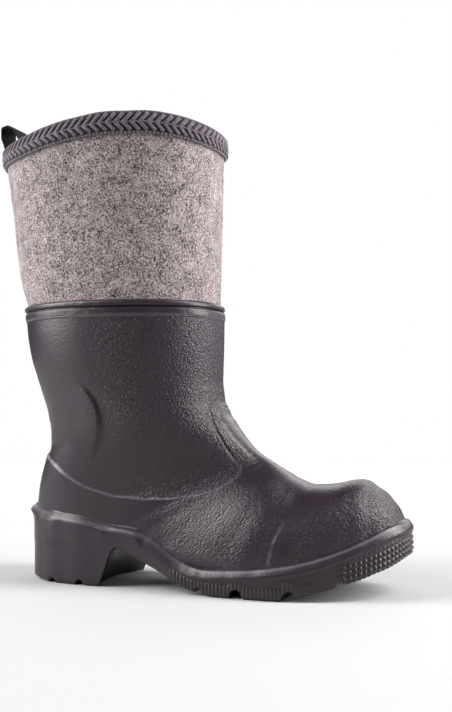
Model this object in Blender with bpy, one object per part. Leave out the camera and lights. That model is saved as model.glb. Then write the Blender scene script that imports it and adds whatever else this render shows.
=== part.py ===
"""A felt-topped moulded work boot for the right foot, standing on its sole.

The boot is lofted in last coordinates, in millimetres: x runs from the heel to the toe, y to the
medial side and z up from the floor. An empty at the end moves the whole boot so that its origin
lies under the middle of its box.
"""

import bmesh
import bpy
import numpy as np
from mathutils import Matrix

MM = 0.001

# Driving sizes of the boot, millimetres
SOLE_LENGTH = 301.0
HEEL_X = 1.0
TOE_X = HEEL_X + SOLE_LENGTH
TOE_TIP_Y = 8.0
BALL_LATERAL = 55.4
BALL_MEDIAL = 56.5
UPPER_TOP_Z = 203.0
BAND_TOP_Z = 214.0
COLLAR_Z = 346.0
FIT_GAP = 0.3

# Walls and steps, millimetres
UPPER_WALL = 3.5
PANEL_STEP = 1.0
TOE_CAP_STEP = 2.0
ANKLE_STEP = 1.8
FELT_WALL = 4.5
FELT_INSET = 2.0
INSOLE_THICKNESS = 3.0
STRAP_THICKNESS = 1.6
STRAP_WIDTH = 22.0

# Facets
RINGS_PER_ROW = 2
POINTS_AROUND = 32
HOLLOW_RINGS_PER_ROW = 1
HOLLOW_POINTS_AROUND = 24
SOLE_STATIONS = 40
FELT_RINGS = 6
ANKLE_SIDES = 24
ARCH_SECTIONS = 41
GROOVE_SIDES = 12
STRAP_STATIONS = 24

# Reach of the cutters past the boot, millimetres
WIDE = 200.0
CUT_MARGIN = 40.0
CUT_STEP = 8.0
MOUTH_DEPTH = 4.0
MOUTH_RISE = 20.0

# Sections of the upper's outer form, from the top rim over heel and instep to the toe. Each section
# is a plane that holds the front point, the back point and the y direction.
LAST_COLUMNS = (
    "front_x", "front_z", "back_x", "back_z", "middle_y",
    "lateral", "medial", "widest", "front_power", "back_power",
)
LAST_ROWS = (
    (156.4, 203.0, -5.4, 203.0, 0.0, 61.0, 61.0, 0.50, 2.15, 2.15),
    (156.2, 181.0, -2.2, 180.0, 0.0, 59.5, 59.5, 0.50, 2.15, 2.15),
    (155.8, 162.0, 4.0, 159.0, 0.0, 57.0, 57.0, 0.50, 2.15, 2.15),
    (156.6, 147.0, 10.0, 142.0, 0.0, 55.0, 55.0, 0.49, 2.15, 2.15),
    (160.3, 132.6, 15.0, 125.0, 0.0, 53.5, 53.0, 0.48, 2.15, 2.15),
    (166.2, 122.9, 16.6, 108.0, 0.0, 51.5, 50.5, 0.46, 2.15, 2.15),
    (172.2, 114.8, 13.0, 94.0, 0.0, 48.5, 47.0, 0.45, 2.15, 2.2),
    (177.7, 108.3, 7.8, 78.0, 0.0, 45.0, 43.5, 0.44, 2.15, 2.25),
    (182.2, 103.5, 4.8, 62.0, 0.0, 42.0, 40.5, 0.43, 2.15, 2.3),
    (186.2, 100.0, 3.8, 46.0, 0.0, 40.0, 38.5, 0.42, 2.15, 2.4),
    (189.8, 97.4, 6.5, 31.0, 0.0, 38.8, 37.2, 0.41, 2.15, 2.5),
    (193.3, 95.2, 20.0, 19.0, 0.0, 38.4, 36.4, 0.40, 2.15, 2.8),
    (196.8, 93.2, 48.0, 15.0, 0.0, 39.0, 36.0, 0.38, 2.15, 3.2),
    (200.8, 90.8, 84.0, 14.0, 0.0, 40.6, 36.4, 0.36, 2.15, 3.4),
    (205.4, 88.0, 122.0, 12.0, 0.0, 44.0, 39.4, 0.34, 2.15, 3.4),
    (211.4, 84.3, 160.0, 7.0, 0.5, 49.0, 45.4, 0.31, 2.15, 3.4),
    (220.6, 79.3, 193.0, 4.0, 1.5, 51.6, 49.4, 0.28, 2.15, 3.4),
    (233.8, 76.3, 222.0, 6.0, 3.0, 50.8, 50.0, 0.26, 2.2, 3.4),
    (248.8, 77.6, 245.0, 10.0, 4.5, 46.6, 47.6, 0.27, 2.3, 3.4),
    (262.2, 79.4, 263.5, 17.0, 6.0, 40.6, 42.6, 0.30, 2.4, 3.2),
    (274.2, 74.6, 278.0, 25.0, 7.0, 32.6, 35.0, 0.34, 2.4, 3.0),
    (284.4, 66.2, 288.0, 33.0, 8.0, 23.6, 25.6, 0.40, 2.3, 2.6),
    (291.4, 56.4, 293.6, 40.0, 8.0, 13.2, 14.2, 0.45, 2.2, 2.3),
    (294.4, 50.0, 295.0, 45.0, 8.0, 4.0, 4.0, 0.50, 2.0, 2.0),
)
INNER_TOE_ROWS = 2

# Felt tube: its outer face at a few heights. It starts to flare just above the joint band.
FELT_FLARE_Z = 228.0
SHAFT_COLUMNS = ("z", "front_x", "back_x", "half_width")
SHAFT_ROWS = (
    (UPPER_TOP_Z, 154.4, -3.4, 59.0),
    (BAND_TOP_Z, 153.4, -4.4, 59.2),
    (FELT_FLARE_Z, 153.5, -8.6, 61.0),
    (250.0, 153.9, -12.8, 62.6),
    (285.0, 154.6, -17.0, 64.6),
    (320.0, 155.2, -21.6, 67.2),
    (COLLAR_Z, 155.4, -24.6, 69.0),
)
SHAFT_POWER = 2.15
# The collar's rim is not level: how far it stands above its nominal height along the foot
RIM_ROWS = (
    (-30.0, -9.0), (15.0, -8.0), (40.0, -4.0), (68.0, 0.0), (105.0, 2.6), (135.0, 2.0), (160.0, -3.0),
)

# Sole outline in plan: half widths at stations along the foot
OUTLINE_COLUMNS = ("x", "lateral", "medial")
OUTLINE_ROWS = (
    (HEEL_X, 0.0, 0.0),
    (20.0, 34.0, 33.5),
    (45.0, 42.0, 41.0),
    (75.0, 44.0, 42.0),
    (105.0, 45.0, 41.0),
    (130.0, 48.0, 43.0),
    (155.0, 52.2, 47.5),
    (180.0, 54.8, 52.0),
    (200.0, BALL_LATERAL, 54.8),
    (220.0, 54.6, BALL_MEDIAL),
    (240.0, 50.6, 56.0),
    (260.0, 43.2, 53.0),
    (278.0, 32.4, 46.5),
    (292.0, 18.0, 36.0),
    (TOE_X, -TOE_TIP_Y, TOE_TIP_Y),
)

# Heights along the foot: the sole's ledge, its underside without the arch, and the footbed
LEDGE_ROWS = (
    (-8.0, 58.0), (20.0, 54.4), (40.0, 52.0), (53.0, 50.6), (66.0, 48.2), (79.0, 45.4), (90.0, 43.6),
    (101.0, 42.4), (113.0, 39.4), (122.0, 35.0), (130.0, 29.8), (139.0, 24.4), (147.0, 20.8),
    (156.0, 18.6), (165.0, 17.9), (176.0, 18.4), (191.0, 19.4), (206.0, 21.0), (220.0, 23.3),
    (234.0, 26.2), (247.0, 29.8), (260.0, 34.4), (272.0, 39.4), (284.0, 45.0), (294.0, 49.8), (303.0, 52.4),
)
UNDERSIDE_ROWS = (
    (-8.0, 4.0), (2.0, 3.0), (20.0, 1.2), (36.0, 0.0), (56.0, 0.0), (80.0, 0.0), (140.0, 0.0),
    (172.0, 0.0), (214.0, 0.0), (228.0, 2.2), (242.0, 5.6), (260.0, 11.4), (280.0, 18.4),
    (298.0, 28.0), (304.0, 32.5),
)
FOOTBED_ROWS = (
    (-20.0, 28.5), (60.0, 27.5), (92.0, 34.5), (108.0, 28.5), (125.0, 22.5), (150.0, 15.5),
    (172.0, 11.5), (190.0, 10.5), (210.0, 11.0), (230.0, 13.5), (250.0, 18.5), (270.0, 25.0),
    (290.0, 33.5), (310.0, 43.0),
)

# Side of the sole, from the floor up: inset from the outline, share of the way from underside to
# ledge, and a fixed height added to it
SIDE_COLUMNS = ("inset", "share", "rise")
SIDE_ROWS = (
    (2.6, 0.0, 0.0),
    (1.4, 0.0, 1.2),
    (1.2, 0.4, 0.0),
    (1.4, 1.0, -6.6),
    (0.3, 1.0, -5.5),
    (0.0, 1.0, -4.0),
    (0.5, 1.0, -1.3),
    (1.4, 1.0, 0.0),
)
# Heel spur for pushing the boot off: reach behind the outline, and its share at each side row
SPUR_REACH = 6.4
SPUR_LENGTH = 40.0
SPUR_HALF_WIDTH = 22.0
SPUR_ROWS = (0.0, 0.0, 0.0, 0.0, 0.6, 1.0, 1.0, 0.85)

# Arch between heel breast and ball, seen from the side, and how far the breast is hollowed
ARCH_ROWS = (
    (74.0, -6.0), (76.5, 0.0), (86.0, 25.0), (89.5, 29.0), (98.0, 26.6), (109.0, 20.8),
    (122.0, 15.8), (135.0, 9.6), (150.0, 3.0), (170.0, 0.0), (176.0, -6.0),
)
BREAST_POINTS = 4
BREAST_HOLLOW = 11.0
BREAST_HALF_WIDTH = 44.0

# Tread grooves: place along the foot, height of the round roof above the floor line, and radius
GROOVE_COLUMNS = ("x", "roof", "radius")
GROOVE_ROWS = (
    (33.5, 3.0, 3.0), (58.5, 3.4, 3.4), (159.0, 5.0, 4.0), (187.5, 5.6, 4.6), (225.0, 5.0, 4.2), (259.0, 2.6, 2.6),
)

# Edges of the overlays, seen from the side
PANEL_EDGE = (
    (-40.0, 100.0), (10.0, 98.5), (22.0, 95.6), (33.4, 90.3), (49.0, 81.2), (74.0, 71.2), (99.0, 67.2),
    (120.0, 66.7), (140.0, 68.4), (164.0, 74.4), (174.0, 79.6), (180.5, 86.6), (178.5, 93.0), (171.0, 101.8),
    (163.5, 112.8), (157.4, 126.2), (155.2, 134.0), (156.4, 139.6), (163.0, 143.0), (190.0, 146.0),
)
TOE_CAP_EDGE = ((208.0, 0.0), (212.0, 30.0), (215.0, 43.0), (222.0, 56.0), (235.0, 68.0), (253.0, 82.0))
ANKLE_X = 68.0
ANKLE_Z = 124.0
ANKLE_HALF_LENGTH = 13.0
ANKLE_HALF_HEIGHT = 26.5

# Joint band seen in section: distance out from the felt and height above the upper's top. Two beads
# with a slot between them.
BAND_PROFILE = (
    (FIT_GAP, FIT_GAP), (2.6, FIT_GAP), (2.9, 1.5), (2.9, 4.5), (1.5, 5.3), (1.5, 6.3), (2.7, 7.3),
    (2.4, 10.0), (1.2, 11.0), (FIT_GAP, 11.0),
)
# Binding seen in section: its outer half, as distance out from the felt and height above the collar
BINDING_PROFILE = (
    (FIT_GAP, -12.4), (1.5, -12.8), (2.9, -9.4), (2.9, -3.2), (2.0, 0.9), (0.6, 2.9),
)

# Pull loop: its middle line seen from the side, outer leg first
STRAP_ROUTE = (
    (-28.6, 334.0), (-29.6, 342.0), (-34.0, 353.0), (-37.4, 362.0), (-35.0, 369.0), (-28.0, 368.4),
    (-21.0, 361.0), (-16.6, 351.0), (-15.0, 342.0), (-14.8, 334.0),
)

# Colours as linear values, with roughness
FINISHES = {
    "eva": ((0.055, 0.050, 0.053), 0.55),
    "felt": ((0.190, 0.170, 0.165), 0.95),
    "braid": ((0.060, 0.048, 0.060), 0.85),
    "webbing": ((0.012, 0.012, 0.013), 0.80),
    "insole": ((0.110, 0.105, 0.100), 0.90),
}


def curve(rows, places):
    """Heights of a smooth curve through rows of (place, height), level at its turning points."""
    table = np.array(rows, float)
    known = table[:, 0]
    steps = np.diff(known)
    rises = np.diff(table[:, 1]) / steps
    slopes = np.concatenate([rises[:1], np.zeros(len(rises) - 1), rises[-1:]])
    mean = (rises[:-1] * steps[1:] + rises[1:] * steps[:-1]) / (steps[:-1] + steps[1:])
    slopes[1:-1] = np.where(rises[:-1] * rises[1:] > 0, mean, 0.0)
    places = np.clip(np.asarray(places, float), known[0], known[-1])
    at = np.clip(np.searchsorted(known, places) - 1, 0, len(steps) - 1)
    along = (places - known[at]) / steps[at]
    start = table[at, 1] + along * steps[at] * slopes[at]
    end = table[at + 1, 1] - (1 - along) * steps[at] * slopes[at + 1]
    blend = along * along * (3 - 2 * along)
    return start * (1 - blend) + end * blend


def column(columns, rows, name):
    """One named column of a table."""
    place = columns.index(name)
    return [row[place] for row in rows]


def smooth_columns(columns, rows, count):
    """A table of rows read at count even steps, as named columns."""
    marks = np.arange(len(rows))
    at = np.linspace(0, len(rows) - 1, count)
    return {name: curve(np.stack([marks, column(columns, rows, name)], 1), at) for name in columns}


def power(value, exponent):
    return np.sign(value) * np.abs(value) ** exponent


def last_grid(rings_per_row, points_around):
    """Points of the upper's outer form: sections by points around them."""
    count = rings_per_row * (len(LAST_ROWS) - 1) + 1
    row = {name: value[:, None] for name, value in smooth_columns(LAST_COLUMNS, LAST_ROWS, count).items()}
    turn = np.linspace(0, 2 * np.pi, points_around, endpoint=False)[None, :]
    forward, aside = np.cos(turn), np.sin(turn)
    shape = 2 / np.where(forward > 0, row["front_power"], row["back_power"])
    reach = np.where(forward > 0, 1 - row["widest"], row["widest"])
    share = row["widest"] + reach * power(forward, shape)
    width = np.where(aside > 0, row["medial"], row["lateral"])
    x = row["back_x"] + share * (row["front_x"] - row["back_x"])
    y = row["middle_y"] + width * power(aside, shape)
    z = row["back_z"] + share * (row["front_z"] - row["back_z"])
    return np.stack(np.broadcast_arrays(x, y, z), 2)


def outward(grid):
    """Unit normals of a grid of sections."""
    along = np.gradient(grid, axis=0)
    around = np.roll(grid, -1, 1) - np.roll(grid, 1, 1)
    normal = np.cross(along, around)
    return normal / np.linalg.norm(normal, axis=2, keepdims=True)


def rim_lift(x, z):
    """Rise of a shaft ring: none at the joint, growing to the rim's own line at the collar."""
    share = np.clip((z - BAND_TOP_Z) / (COLLAR_Z - BAND_TOP_Z), 0.0, 1.0)
    return share * share * curve(RIM_ROWS, x)


def shaft_ring(z, offset):
    """One ring round the shaft, offset outwards from the felt's outer face."""
    heights = column(SHAFT_COLUMNS, SHAFT_ROWS, "z")
    front, back, half = (
        float(curve(np.stack([heights, column(SHAFT_COLUMNS, SHAFT_ROWS, name)], 1), z))
        for name in ("front_x", "back_x", "half_width")
    )
    front, back, half = front + offset, back - offset, half + offset
    turn = np.linspace(0, 2 * np.pi, POINTS_AROUND, endpoint=False)
    x = (front + back) / 2 + (front - back) / 2 * power(np.cos(turn), 2 / SHAFT_POWER)
    y = half * power(np.sin(turn), 2 / SHAFT_POWER)
    return np.stack([x, y, z + rim_lift(x, z)], 1)


def collection(name):
    made = bpy.data.collections.new(name)
    bpy.context.scene.collection.children.link(made)
    return made


def finish_of(name):
    colour, roughness = FINISHES[name]
    material = bpy.data.materials.get(name) or bpy.data.materials.new(name)
    material.use_nodes = True
    shader = material.node_tree.nodes["Principled BSDF"]
    shader.inputs["Base Color"].default_value = (*colour, 1.0)
    shader.inputs["Roughness"].default_value = roughness
    return material


def make_object(name, shape, group, finish=None):
    """A mesh object from a bmesh in millimetres. With no finish it is a cutter."""
    bmesh.ops.recalc_face_normals(shape, faces=shape.faces)
    bmesh.ops.scale(shape, vec=(MM, MM, MM), verts=shape.verts)
    mesh = bpy.data.meshes.new(name)
    shape.to_mesh(mesh)
    shape.free()
    made = bpy.data.objects.new(name, mesh)
    group.objects.link(made)
    if finish:
        mesh.materials.append(finish_of(finish))
        mesh.shade_smooth()
    else:
        made.hide_render = True
        made.display_type = "WIRE"
    return made


def loft(rings, joined=False):
    """Rings of equal count skinned in order; the ends are capped, or joined to each other."""
    shape = bmesh.new()
    loops = [[shape.verts.new(point) for point in ring] for ring in rings]
    pairs = list(zip(loops, loops[1:]))
    if joined:
        pairs.append((loops[-1], loops[0]))
    for low, high in pairs:
        for i in range(len(low)):
            j = (i + 1) % len(low)
            shape.faces.new((low[i], low[j], high[j], high[i]))
    if not joined:
        for loop in (loops[0], loops[-1]):
            shape.faces.new(loop)
    return shape


def side_prism(points):
    """A side-view outline carried right across the boot."""
    return loft([[(x, y, z) for x, z in points] for y in (-WIDE, WIDE)])


def boolean(target, operation, tool):
    step = target.modifiers.new(f"{operation.lower()} {tool.name}", "BOOLEAN")
    step.operation = operation
    step.object = tool
    step.solver = "EXACT"


def last_form(name, offset, group, finish=None):
    """The closed form of the foot and lower shaft, offset outwards from the last."""
    grid = last_grid(RINGS_PER_ROW, POINTS_AROUND)
    return make_object(name, loft(list(grid + offset * outward(grid))), group, finish)


def hollow_form(name, offset, group, finish=None):
    """The space inside the upper, offset inwards from the last and blunt at the toe."""
    grid = last_grid(HOLLOW_RINGS_PER_ROW, HOLLOW_POINTS_AROUND)
    grid = (grid - offset * outward(grid))[: -HOLLOW_RINGS_PER_ROW * INNER_TOE_ROWS]
    return make_object(name, loft(list(grid)), group, finish)


def below(rows, lift):
    """Side outline of everything under a curve along the foot."""
    stations = np.arange(rows[0][0] - CUT_MARGIN, rows[-1][0] + CUT_MARGIN, CUT_STEP)
    points = list(zip(stations, curve(rows, stations) + lift))
    return points + [(points[-1][0], -WIDE), (points[0][0], -WIDE)]


def smooth_edge(points, count):
    """An open side-view edge rounded by reading its points at even steps."""
    marks = np.arange(len(points))
    at = np.linspace(0, len(points) - 1, count)
    xs = curve(np.stack([marks, [p[0] for p in points]], 1), at)
    zs = curve(np.stack([marks, [p[1] for p in points]], 1), at)
    return list(zip(xs, zs))


def panel_outline():
    edge = smooth_edge(PANEL_EDGE, 2 * len(PANEL_EDGE) - 1)
    return edge + [(WIDE * 2, edge[-1][1]), (WIDE * 2, -WIDE), (-WIDE, -WIDE), (-WIDE, edge[0][1])]


def toe_cap_outline(lead=0.0):
    edge = [(x - lead, z) for x, z in smooth_edge(TOE_CAP_EDGE, 2 * len(TOE_CAP_EDGE) - 1)]
    return edge + [(edge[-1][0], WIDE), (WIDE * 2, WIDE), (WIDE * 2, -WIDE), (edge[0][0], -WIDE)]


def ankle_outline():
    turn = np.linspace(0, 2 * np.pi, ANKLE_SIDES, endpoint=False)
    return list(zip(ANKLE_X + ANKLE_HALF_LENGTH * np.cos(turn), ANKLE_Z + ANKLE_HALF_HEIGHT * np.sin(turn)))


def overlay(name, step, outline, cutters):
    """The part of a larger form that lies inside a side-view outline."""
    piece = last_form(name, step, cutters)
    boolean(piece, "INTERSECT", make_object(f"{name} outline", side_prism(outline), cutters))
    return piece


def build_upper(parts, cutters):
    upper = last_form("upper", 0.0, parts, "eva")
    boolean(upper, "UNION", overlay("lower panel", PANEL_STEP, panel_outline(), cutters))
    boolean(upper, "UNION", overlay("toe cap", TOE_CAP_STEP, toe_cap_outline(), cutters))
    boolean(upper, "UNION", overlay("ankle pad", ANKLE_STEP, ankle_outline(), cutters))
    boolean(upper, "DIFFERENCE", hollow_form("upper hollow", UPPER_WALL, cutters))
    levels = (UPPER_TOP_Z - MOUTH_DEPTH, UPPER_TOP_Z + MOUTH_RISE)
    mouth = loft([shaft_ring(z, FELT_INSET - UPPER_WALL) for z in levels])
    boolean(upper, "DIFFERENCE", make_object("upper mouth", mouth, cutters))
    floor = side_prism(below(FOOTBED_ROWS, FIT_GAP))
    boolean(upper, "DIFFERENCE", make_object("upper floor", floor, cutters))


def sole_outline():
    """Closed plan outline, heel to toe on the lateral side and back on the medial side."""
    lengths = np.array(column(OUTLINE_COLUMNS, OUTLINE_ROWS, "x")) - HEEL_X
    spread = np.arccos(1 - 2 * lengths / SOLE_LENGTH)
    turn = np.linspace(0, np.pi, SOLE_STATIONS + 1)
    x = HEEL_X + SOLE_LENGTH * (1 - np.cos(turn)) / 2
    lateral = -curve(np.stack([spread, column(OUTLINE_COLUMNS, OUTLINE_ROWS, "lateral")], 1), turn)
    medial = curve(np.stack([spread, column(OUTLINE_COLUMNS, OUTLINE_ROWS, "medial")], 1), turn)
    return np.concatenate([np.stack([x, lateral], 1), np.stack([x, medial], 1)[-2:0:-1]])


def plan_normals(outline):
    along = np.roll(outline, -1, 0) - np.roll(outline, 1, 0)
    normal = np.stack([along[:, 1], -along[:, 0]], 1)
    return normal / np.linalg.norm(normal, axis=1, keepdims=True)


def sole_ring(outline, normals, side_row, spur_share):
    side = dict(zip(SIDE_COLUMNS, side_row))
    spur = SPUR_REACH * spur_share * np.exp(-((outline[:, 1] / SPUR_HALF_WIDTH) ** 4))
    spur = np.where(outline[:, 0] < SPUR_LENGTH, spur, 0.0)
    plan = outline + normals * (spur - side["inset"])[:, None]
    low = curve(UNDERSIDE_ROWS, plan[:, 0])
    high = curve(LEDGE_ROWS, plan[:, 0])
    return np.column_stack([plan, low + side["share"] * (high - low) + side["rise"]])


def sole_body():
    """Side wall of the sole with strips across its top and underside."""
    outline = sole_outline()
    normals = plan_normals(outline)
    rings = [sole_ring(outline, normals, row, spur) for row, spur in zip(SIDE_ROWS, SPUR_ROWS)]
    shape = bmesh.new()
    loops = [[shape.verts.new(point) for point in ring] for ring in rings]
    count = len(outline)
    for low, high in zip(loops, loops[1:]):
        for i in range(count):
            j = (i + 1) % count
            shape.faces.new((low[i], low[j], high[j], high[i]))
    for loop in (loops[0], loops[-1]):
        for i in range(SOLE_STATIONS):
            strip = (loop[i], loop[i + 1], loop[(count - i - 1) % count], loop[(count - i) % count])
            shape.faces.new(list(dict.fromkeys(strip)))
    return shape


def arch_cutter():
    """The space under the arch, with the heel breast hollowed in plan."""
    sections = []
    for y in np.linspace(-WIDE / 2, WIDE / 2, ARCH_SECTIONS):
        hollow = BREAST_HOLLOW * max(0.0, 1 - (y / BREAST_HALF_WIDTH) ** 2)
        sections.append(
            [(x - hollow * (i < BREAST_POINTS), y, z) for i, (x, z) in enumerate(ARCH_ROWS)]
        )
    return loft(sections)


def tread_grooves():
    """Round-roofed channels across the sole, each one a cylinder let into the underside."""
    shape = bmesh.new()
    for row in GROOVE_ROWS:
        groove = dict(zip(GROOVE_COLUMNS, row))
        radius = groove["radius"]
        height = float(curve(UNDERSIDE_ROWS, groove["x"])) + groove["roof"] - radius
        place = Matrix.Translation((groove["x"], 0.0, height)) @ Matrix.Rotation(np.pi / 2, 4, "X")
        bmesh.ops.create_cone(
            shape, cap_ends=True, segments=GROOVE_SIDES,
            radius1=radius, radius2=radius, depth=WIDE, matrix=place,
        )
    return shape


def build_outsole(parts, cutters):
    outsole = make_object("outsole", sole_body(), parts, "eva")
    boolean(outsole, "DIFFERENCE", make_object("arch", arch_cutter(), cutters))
    boolean(outsole, "DIFFERENCE", make_object("tread grooves", tread_grooves(), cutters))
    footbed = make_object("footbed", side_prism(below(FOOTBED_ROWS, 0.0)), cutters)
    foot = last_form("foot space", PANEL_STEP + FIT_GAP, cutters)
    boolean(foot, "DIFFERENCE", footbed)
    boolean(outsole, "DIFFERENCE", foot)
    toe = overlay("toe space", TOE_CAP_STEP + FIT_GAP, toe_cap_outline(FIT_GAP), cutters)
    boolean(toe, "DIFFERENCE", footbed)
    boolean(outsole, "DIFFERENCE", toe)


def build_insole(parts, cutters):
    insole = hollow_form("insole", UPPER_WALL + FIT_GAP, parts, "insole")
    under = make_object("insole under", side_prism(below(FOOTBED_ROWS, FIT_GAP)), cutters)
    slab = make_object("insole slab", side_prism(below(FOOTBED_ROWS, FIT_GAP + INSOLE_THICKNESS)), cutters)
    boolean(insole, "INTERSECT", slab)
    boolean(insole, "DIFFERENCE", under)


def build_felt_shaft(parts):
    flare = np.linspace(FELT_FLARE_Z, COLLAR_Z, FELT_RINGS)
    levels = np.concatenate([[UPPER_TOP_Z + FIT_GAP, BAND_TOP_Z], flare])
    outer = [shaft_ring(z, 0.0) for z in levels]
    inner = [shaft_ring(z, -FELT_WALL) for z in levels[::-1]]
    make_object("felt_shaft", loft(outer + inner, joined=True), parts, "felt")


def build_joint_band(parts):
    """Two beads with a slot between them, round the foot of the felt."""
    rings = [shaft_ring(UPPER_TOP_Z + rise, out) for out, rise in BAND_PROFILE]
    make_object("joint_band", loft(rings, joined=True), parts, "eva")


def build_collar_binding(parts):
    """Braid folded over the top edge of the felt, puffed on both faces."""
    inside = [(-FELT_WALL - out, rise) for out, rise in BINDING_PROFILE[::-1]]
    fold = [(-FELT_WALL - FIT_GAP, FIT_GAP), (FIT_GAP, FIT_GAP)]
    profile = [*BINDING_PROFILE, *inside, *fold]
    rings = [shaft_ring(COLLAR_Z + rise, out) for out, rise in profile]
    make_object("collar_binding", loft(rings, joined=True), parts, "braid")


def strap_path():
    return np.array(smooth_edge(STRAP_ROUTE, STRAP_STATIONS))


def build_pull_loop(parts):
    """Webbing bent over the collar's back, one leg on each face of the binding."""
    path = strap_path()
    along = np.gradient(path, axis=0)
    across = np.stack([-along[:, 1], along[:, 0]], 1) / np.linalg.norm(along, axis=1, keepdims=True)
    sides = [path + across * STRAP_THICKNESS / 2, path - across * STRAP_THICKNESS / 2]
    half = STRAP_WIDTH / 2
    rings = []
    for one, two in zip(*sides):
        corners = ((one, -half), (one, half), (two, half), (two, -half))
        rings.append([(point[0], y, point[1]) for point, y in corners])
    make_object("pull_loop", loft(rings), parts, "webbing")


def main():
    for old in list(bpy.data.objects):
        bpy.data.objects.remove(old)
    parts = collection("work boot")
    cutters = collection("cutters")
    build_outsole(parts, cutters)
    build_upper(parts, cutters)
    build_insole(parts, cutters)
    build_joint_band(parts)
    build_felt_shaft(parts)
    build_collar_binding(parts)
    build_pull_loop(parts)
    middle = bpy.data.objects.new("boot middle", None)
    parts.objects.link(middle)
    back = strap_path()[:, 0].min() - STRAP_THICKNESS / 2
    middle.location.x = -(back + TOE_X) / 2 * MM
    for made in list(parts.objects) + list(cutters.objects):
        if made is not middle:
            made.parent = middle


main()
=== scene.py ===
# %% [markdown]
# # A felt-topped work boot
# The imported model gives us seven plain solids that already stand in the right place: sole, upper,
# insole, joint band, felt shaft, collar binding and pull loop. In this lesson each of them gets a
# finer piece with the surface of the real thing. We load the solids first and never move them.

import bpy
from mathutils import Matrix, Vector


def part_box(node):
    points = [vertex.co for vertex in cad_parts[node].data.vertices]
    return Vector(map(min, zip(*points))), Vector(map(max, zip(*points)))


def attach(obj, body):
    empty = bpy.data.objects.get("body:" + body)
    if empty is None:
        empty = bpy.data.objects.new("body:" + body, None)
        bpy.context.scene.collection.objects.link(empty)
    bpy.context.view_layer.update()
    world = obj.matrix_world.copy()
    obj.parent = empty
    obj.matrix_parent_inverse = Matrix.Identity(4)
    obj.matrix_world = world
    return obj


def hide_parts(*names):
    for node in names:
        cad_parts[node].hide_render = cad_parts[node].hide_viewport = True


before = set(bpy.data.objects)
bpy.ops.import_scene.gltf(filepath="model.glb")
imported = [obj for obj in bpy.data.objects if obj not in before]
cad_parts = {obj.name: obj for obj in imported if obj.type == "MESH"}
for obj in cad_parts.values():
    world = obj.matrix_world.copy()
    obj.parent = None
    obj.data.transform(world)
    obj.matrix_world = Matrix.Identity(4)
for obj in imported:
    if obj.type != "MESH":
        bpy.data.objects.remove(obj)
print("solids:", sorted(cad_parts))

# %% Measure the frame
import math

import bpy
import numpy as np
from mathutils import Matrix, Vector

MM = 0.001
HEEL_X = 1.0
TOE_X = 302.0
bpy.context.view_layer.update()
# The tables below are in millimetres on the last, where x starts at the heel; the frame starts mid-boot.
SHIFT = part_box("outsole")[1].x / MM - TOE_X
print("shift of the last:", round(SHIFT, 1), "mm")

# %% [markdown]
# ## The camera
# The camera comes first, because every later choice is judged through it. Its place was found by
# matching the boot's edges: it stands at shin height, twenty degrees round from the side towards
# the toe, and looks up by three degrees. The lens follows from the focal length in pixels.

# %% Camera
PHOTO_HEIGHT = 712
FOCAL_PIXELS = 985.6
SENSOR_MM = 36.0
azimuth = math.radians(20.0)
pitch = math.radians(3.04)
aim_x, distance, eye_height = 161.3, 757.2, 133.4

bpy.ops.object.camera_add()
camera = bpy.context.object
camera.name = "product_camera"
forward = Vector((-math.sin(azimuth) * math.cos(pitch), math.cos(azimuth) * math.cos(pitch), math.sin(pitch)))
right = Vector((math.cos(azimuth), math.sin(azimuth), 0.0))
eye = Vector((aim_x + SHIFT + distance * math.sin(azimuth), -distance * math.cos(azimuth), eye_height)) * MM
turned = Matrix((right, right.cross(forward), -forward)).transposed().to_4x4()
camera.matrix_world = Matrix.Translation(eye) @ turned
camera.data.sensor_fit = "VERTICAL"
camera.data.sensor_width = SENSOR_MM
camera.data.sensor_height = SENSOR_MM
camera.data.lens = FOCAL_PIXELS / PHOTO_HEIGHT * SENSOR_MM
camera.data.clip_start = 0.01
bpy.context.scene.camera = camera
print("camera at", [round(c, 3) for c in eye], "lens", round(camera.data.lens, 1), "mm")

# %% [markdown]
# ## Colours and nodes
# Colours are written as the hex values you would pick on a screen. Blender's shaders count in
# linear light, so one function turns a hex value into linear numbers. Another adds a node, sets its
# options and links its inputs, and every material below is built with it.

# %% Colour and node helpers
def linear(hex_colour):
    """An sRGB hex colour as linear red, green, blue and alpha."""
    parts = [int(hex_colour[i:i + 2], 16) / 255 for i in (1, 3, 5)]
    return [c / 12.92 if c <= 0.04045 else ((c + 0.055) / 1.055) ** 2.4 for c in parts] + [1.0]


def set_inputs(tree, node, inputs):
    """Each input takes a value, a hex colour, or a link from another node's output."""
    for name, value in inputs.items():
        if isinstance(value, bpy.types.NodeSocket):
            tree.links.new(value, node.inputs[name])
        else:
            node.inputs[name].default_value = linear(value) if isinstance(value, str) else value


def add_node(tree, kind, inputs=None, **settings):
    """A node of that kind, with its options and inputs set."""
    made = tree.nodes.new("ShaderNode" + kind)
    for name, value in settings.items():
        setattr(made, name, value)
    set_inputs(tree, made, inputs or {})
    return made


def per_metre(size_mm):
    """Scale of a texture whose features are that many millimetres across."""
    return 1.0 / (size_mm * MM)


def new_material(name):
    """A material, its node tree and the Object coordinates in it."""
    material = bpy.data.materials.new(name)
    material.use_nodes = True
    tree = material.node_tree
    return material, tree, add_node(tree, "TexCoord").outputs["Object"]


def dress(material, inputs):
    """Sets the inputs of a material's main shader."""
    tree = material.node_tree
    set_inputs(tree, tree.nodes["Principled BSDF"], inputs)
    print(material.name, "with", len(tree.nodes), "nodes")


print("mid grey #808080 is", round(linear("#808080")[0], 3), "in linear light")

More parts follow.
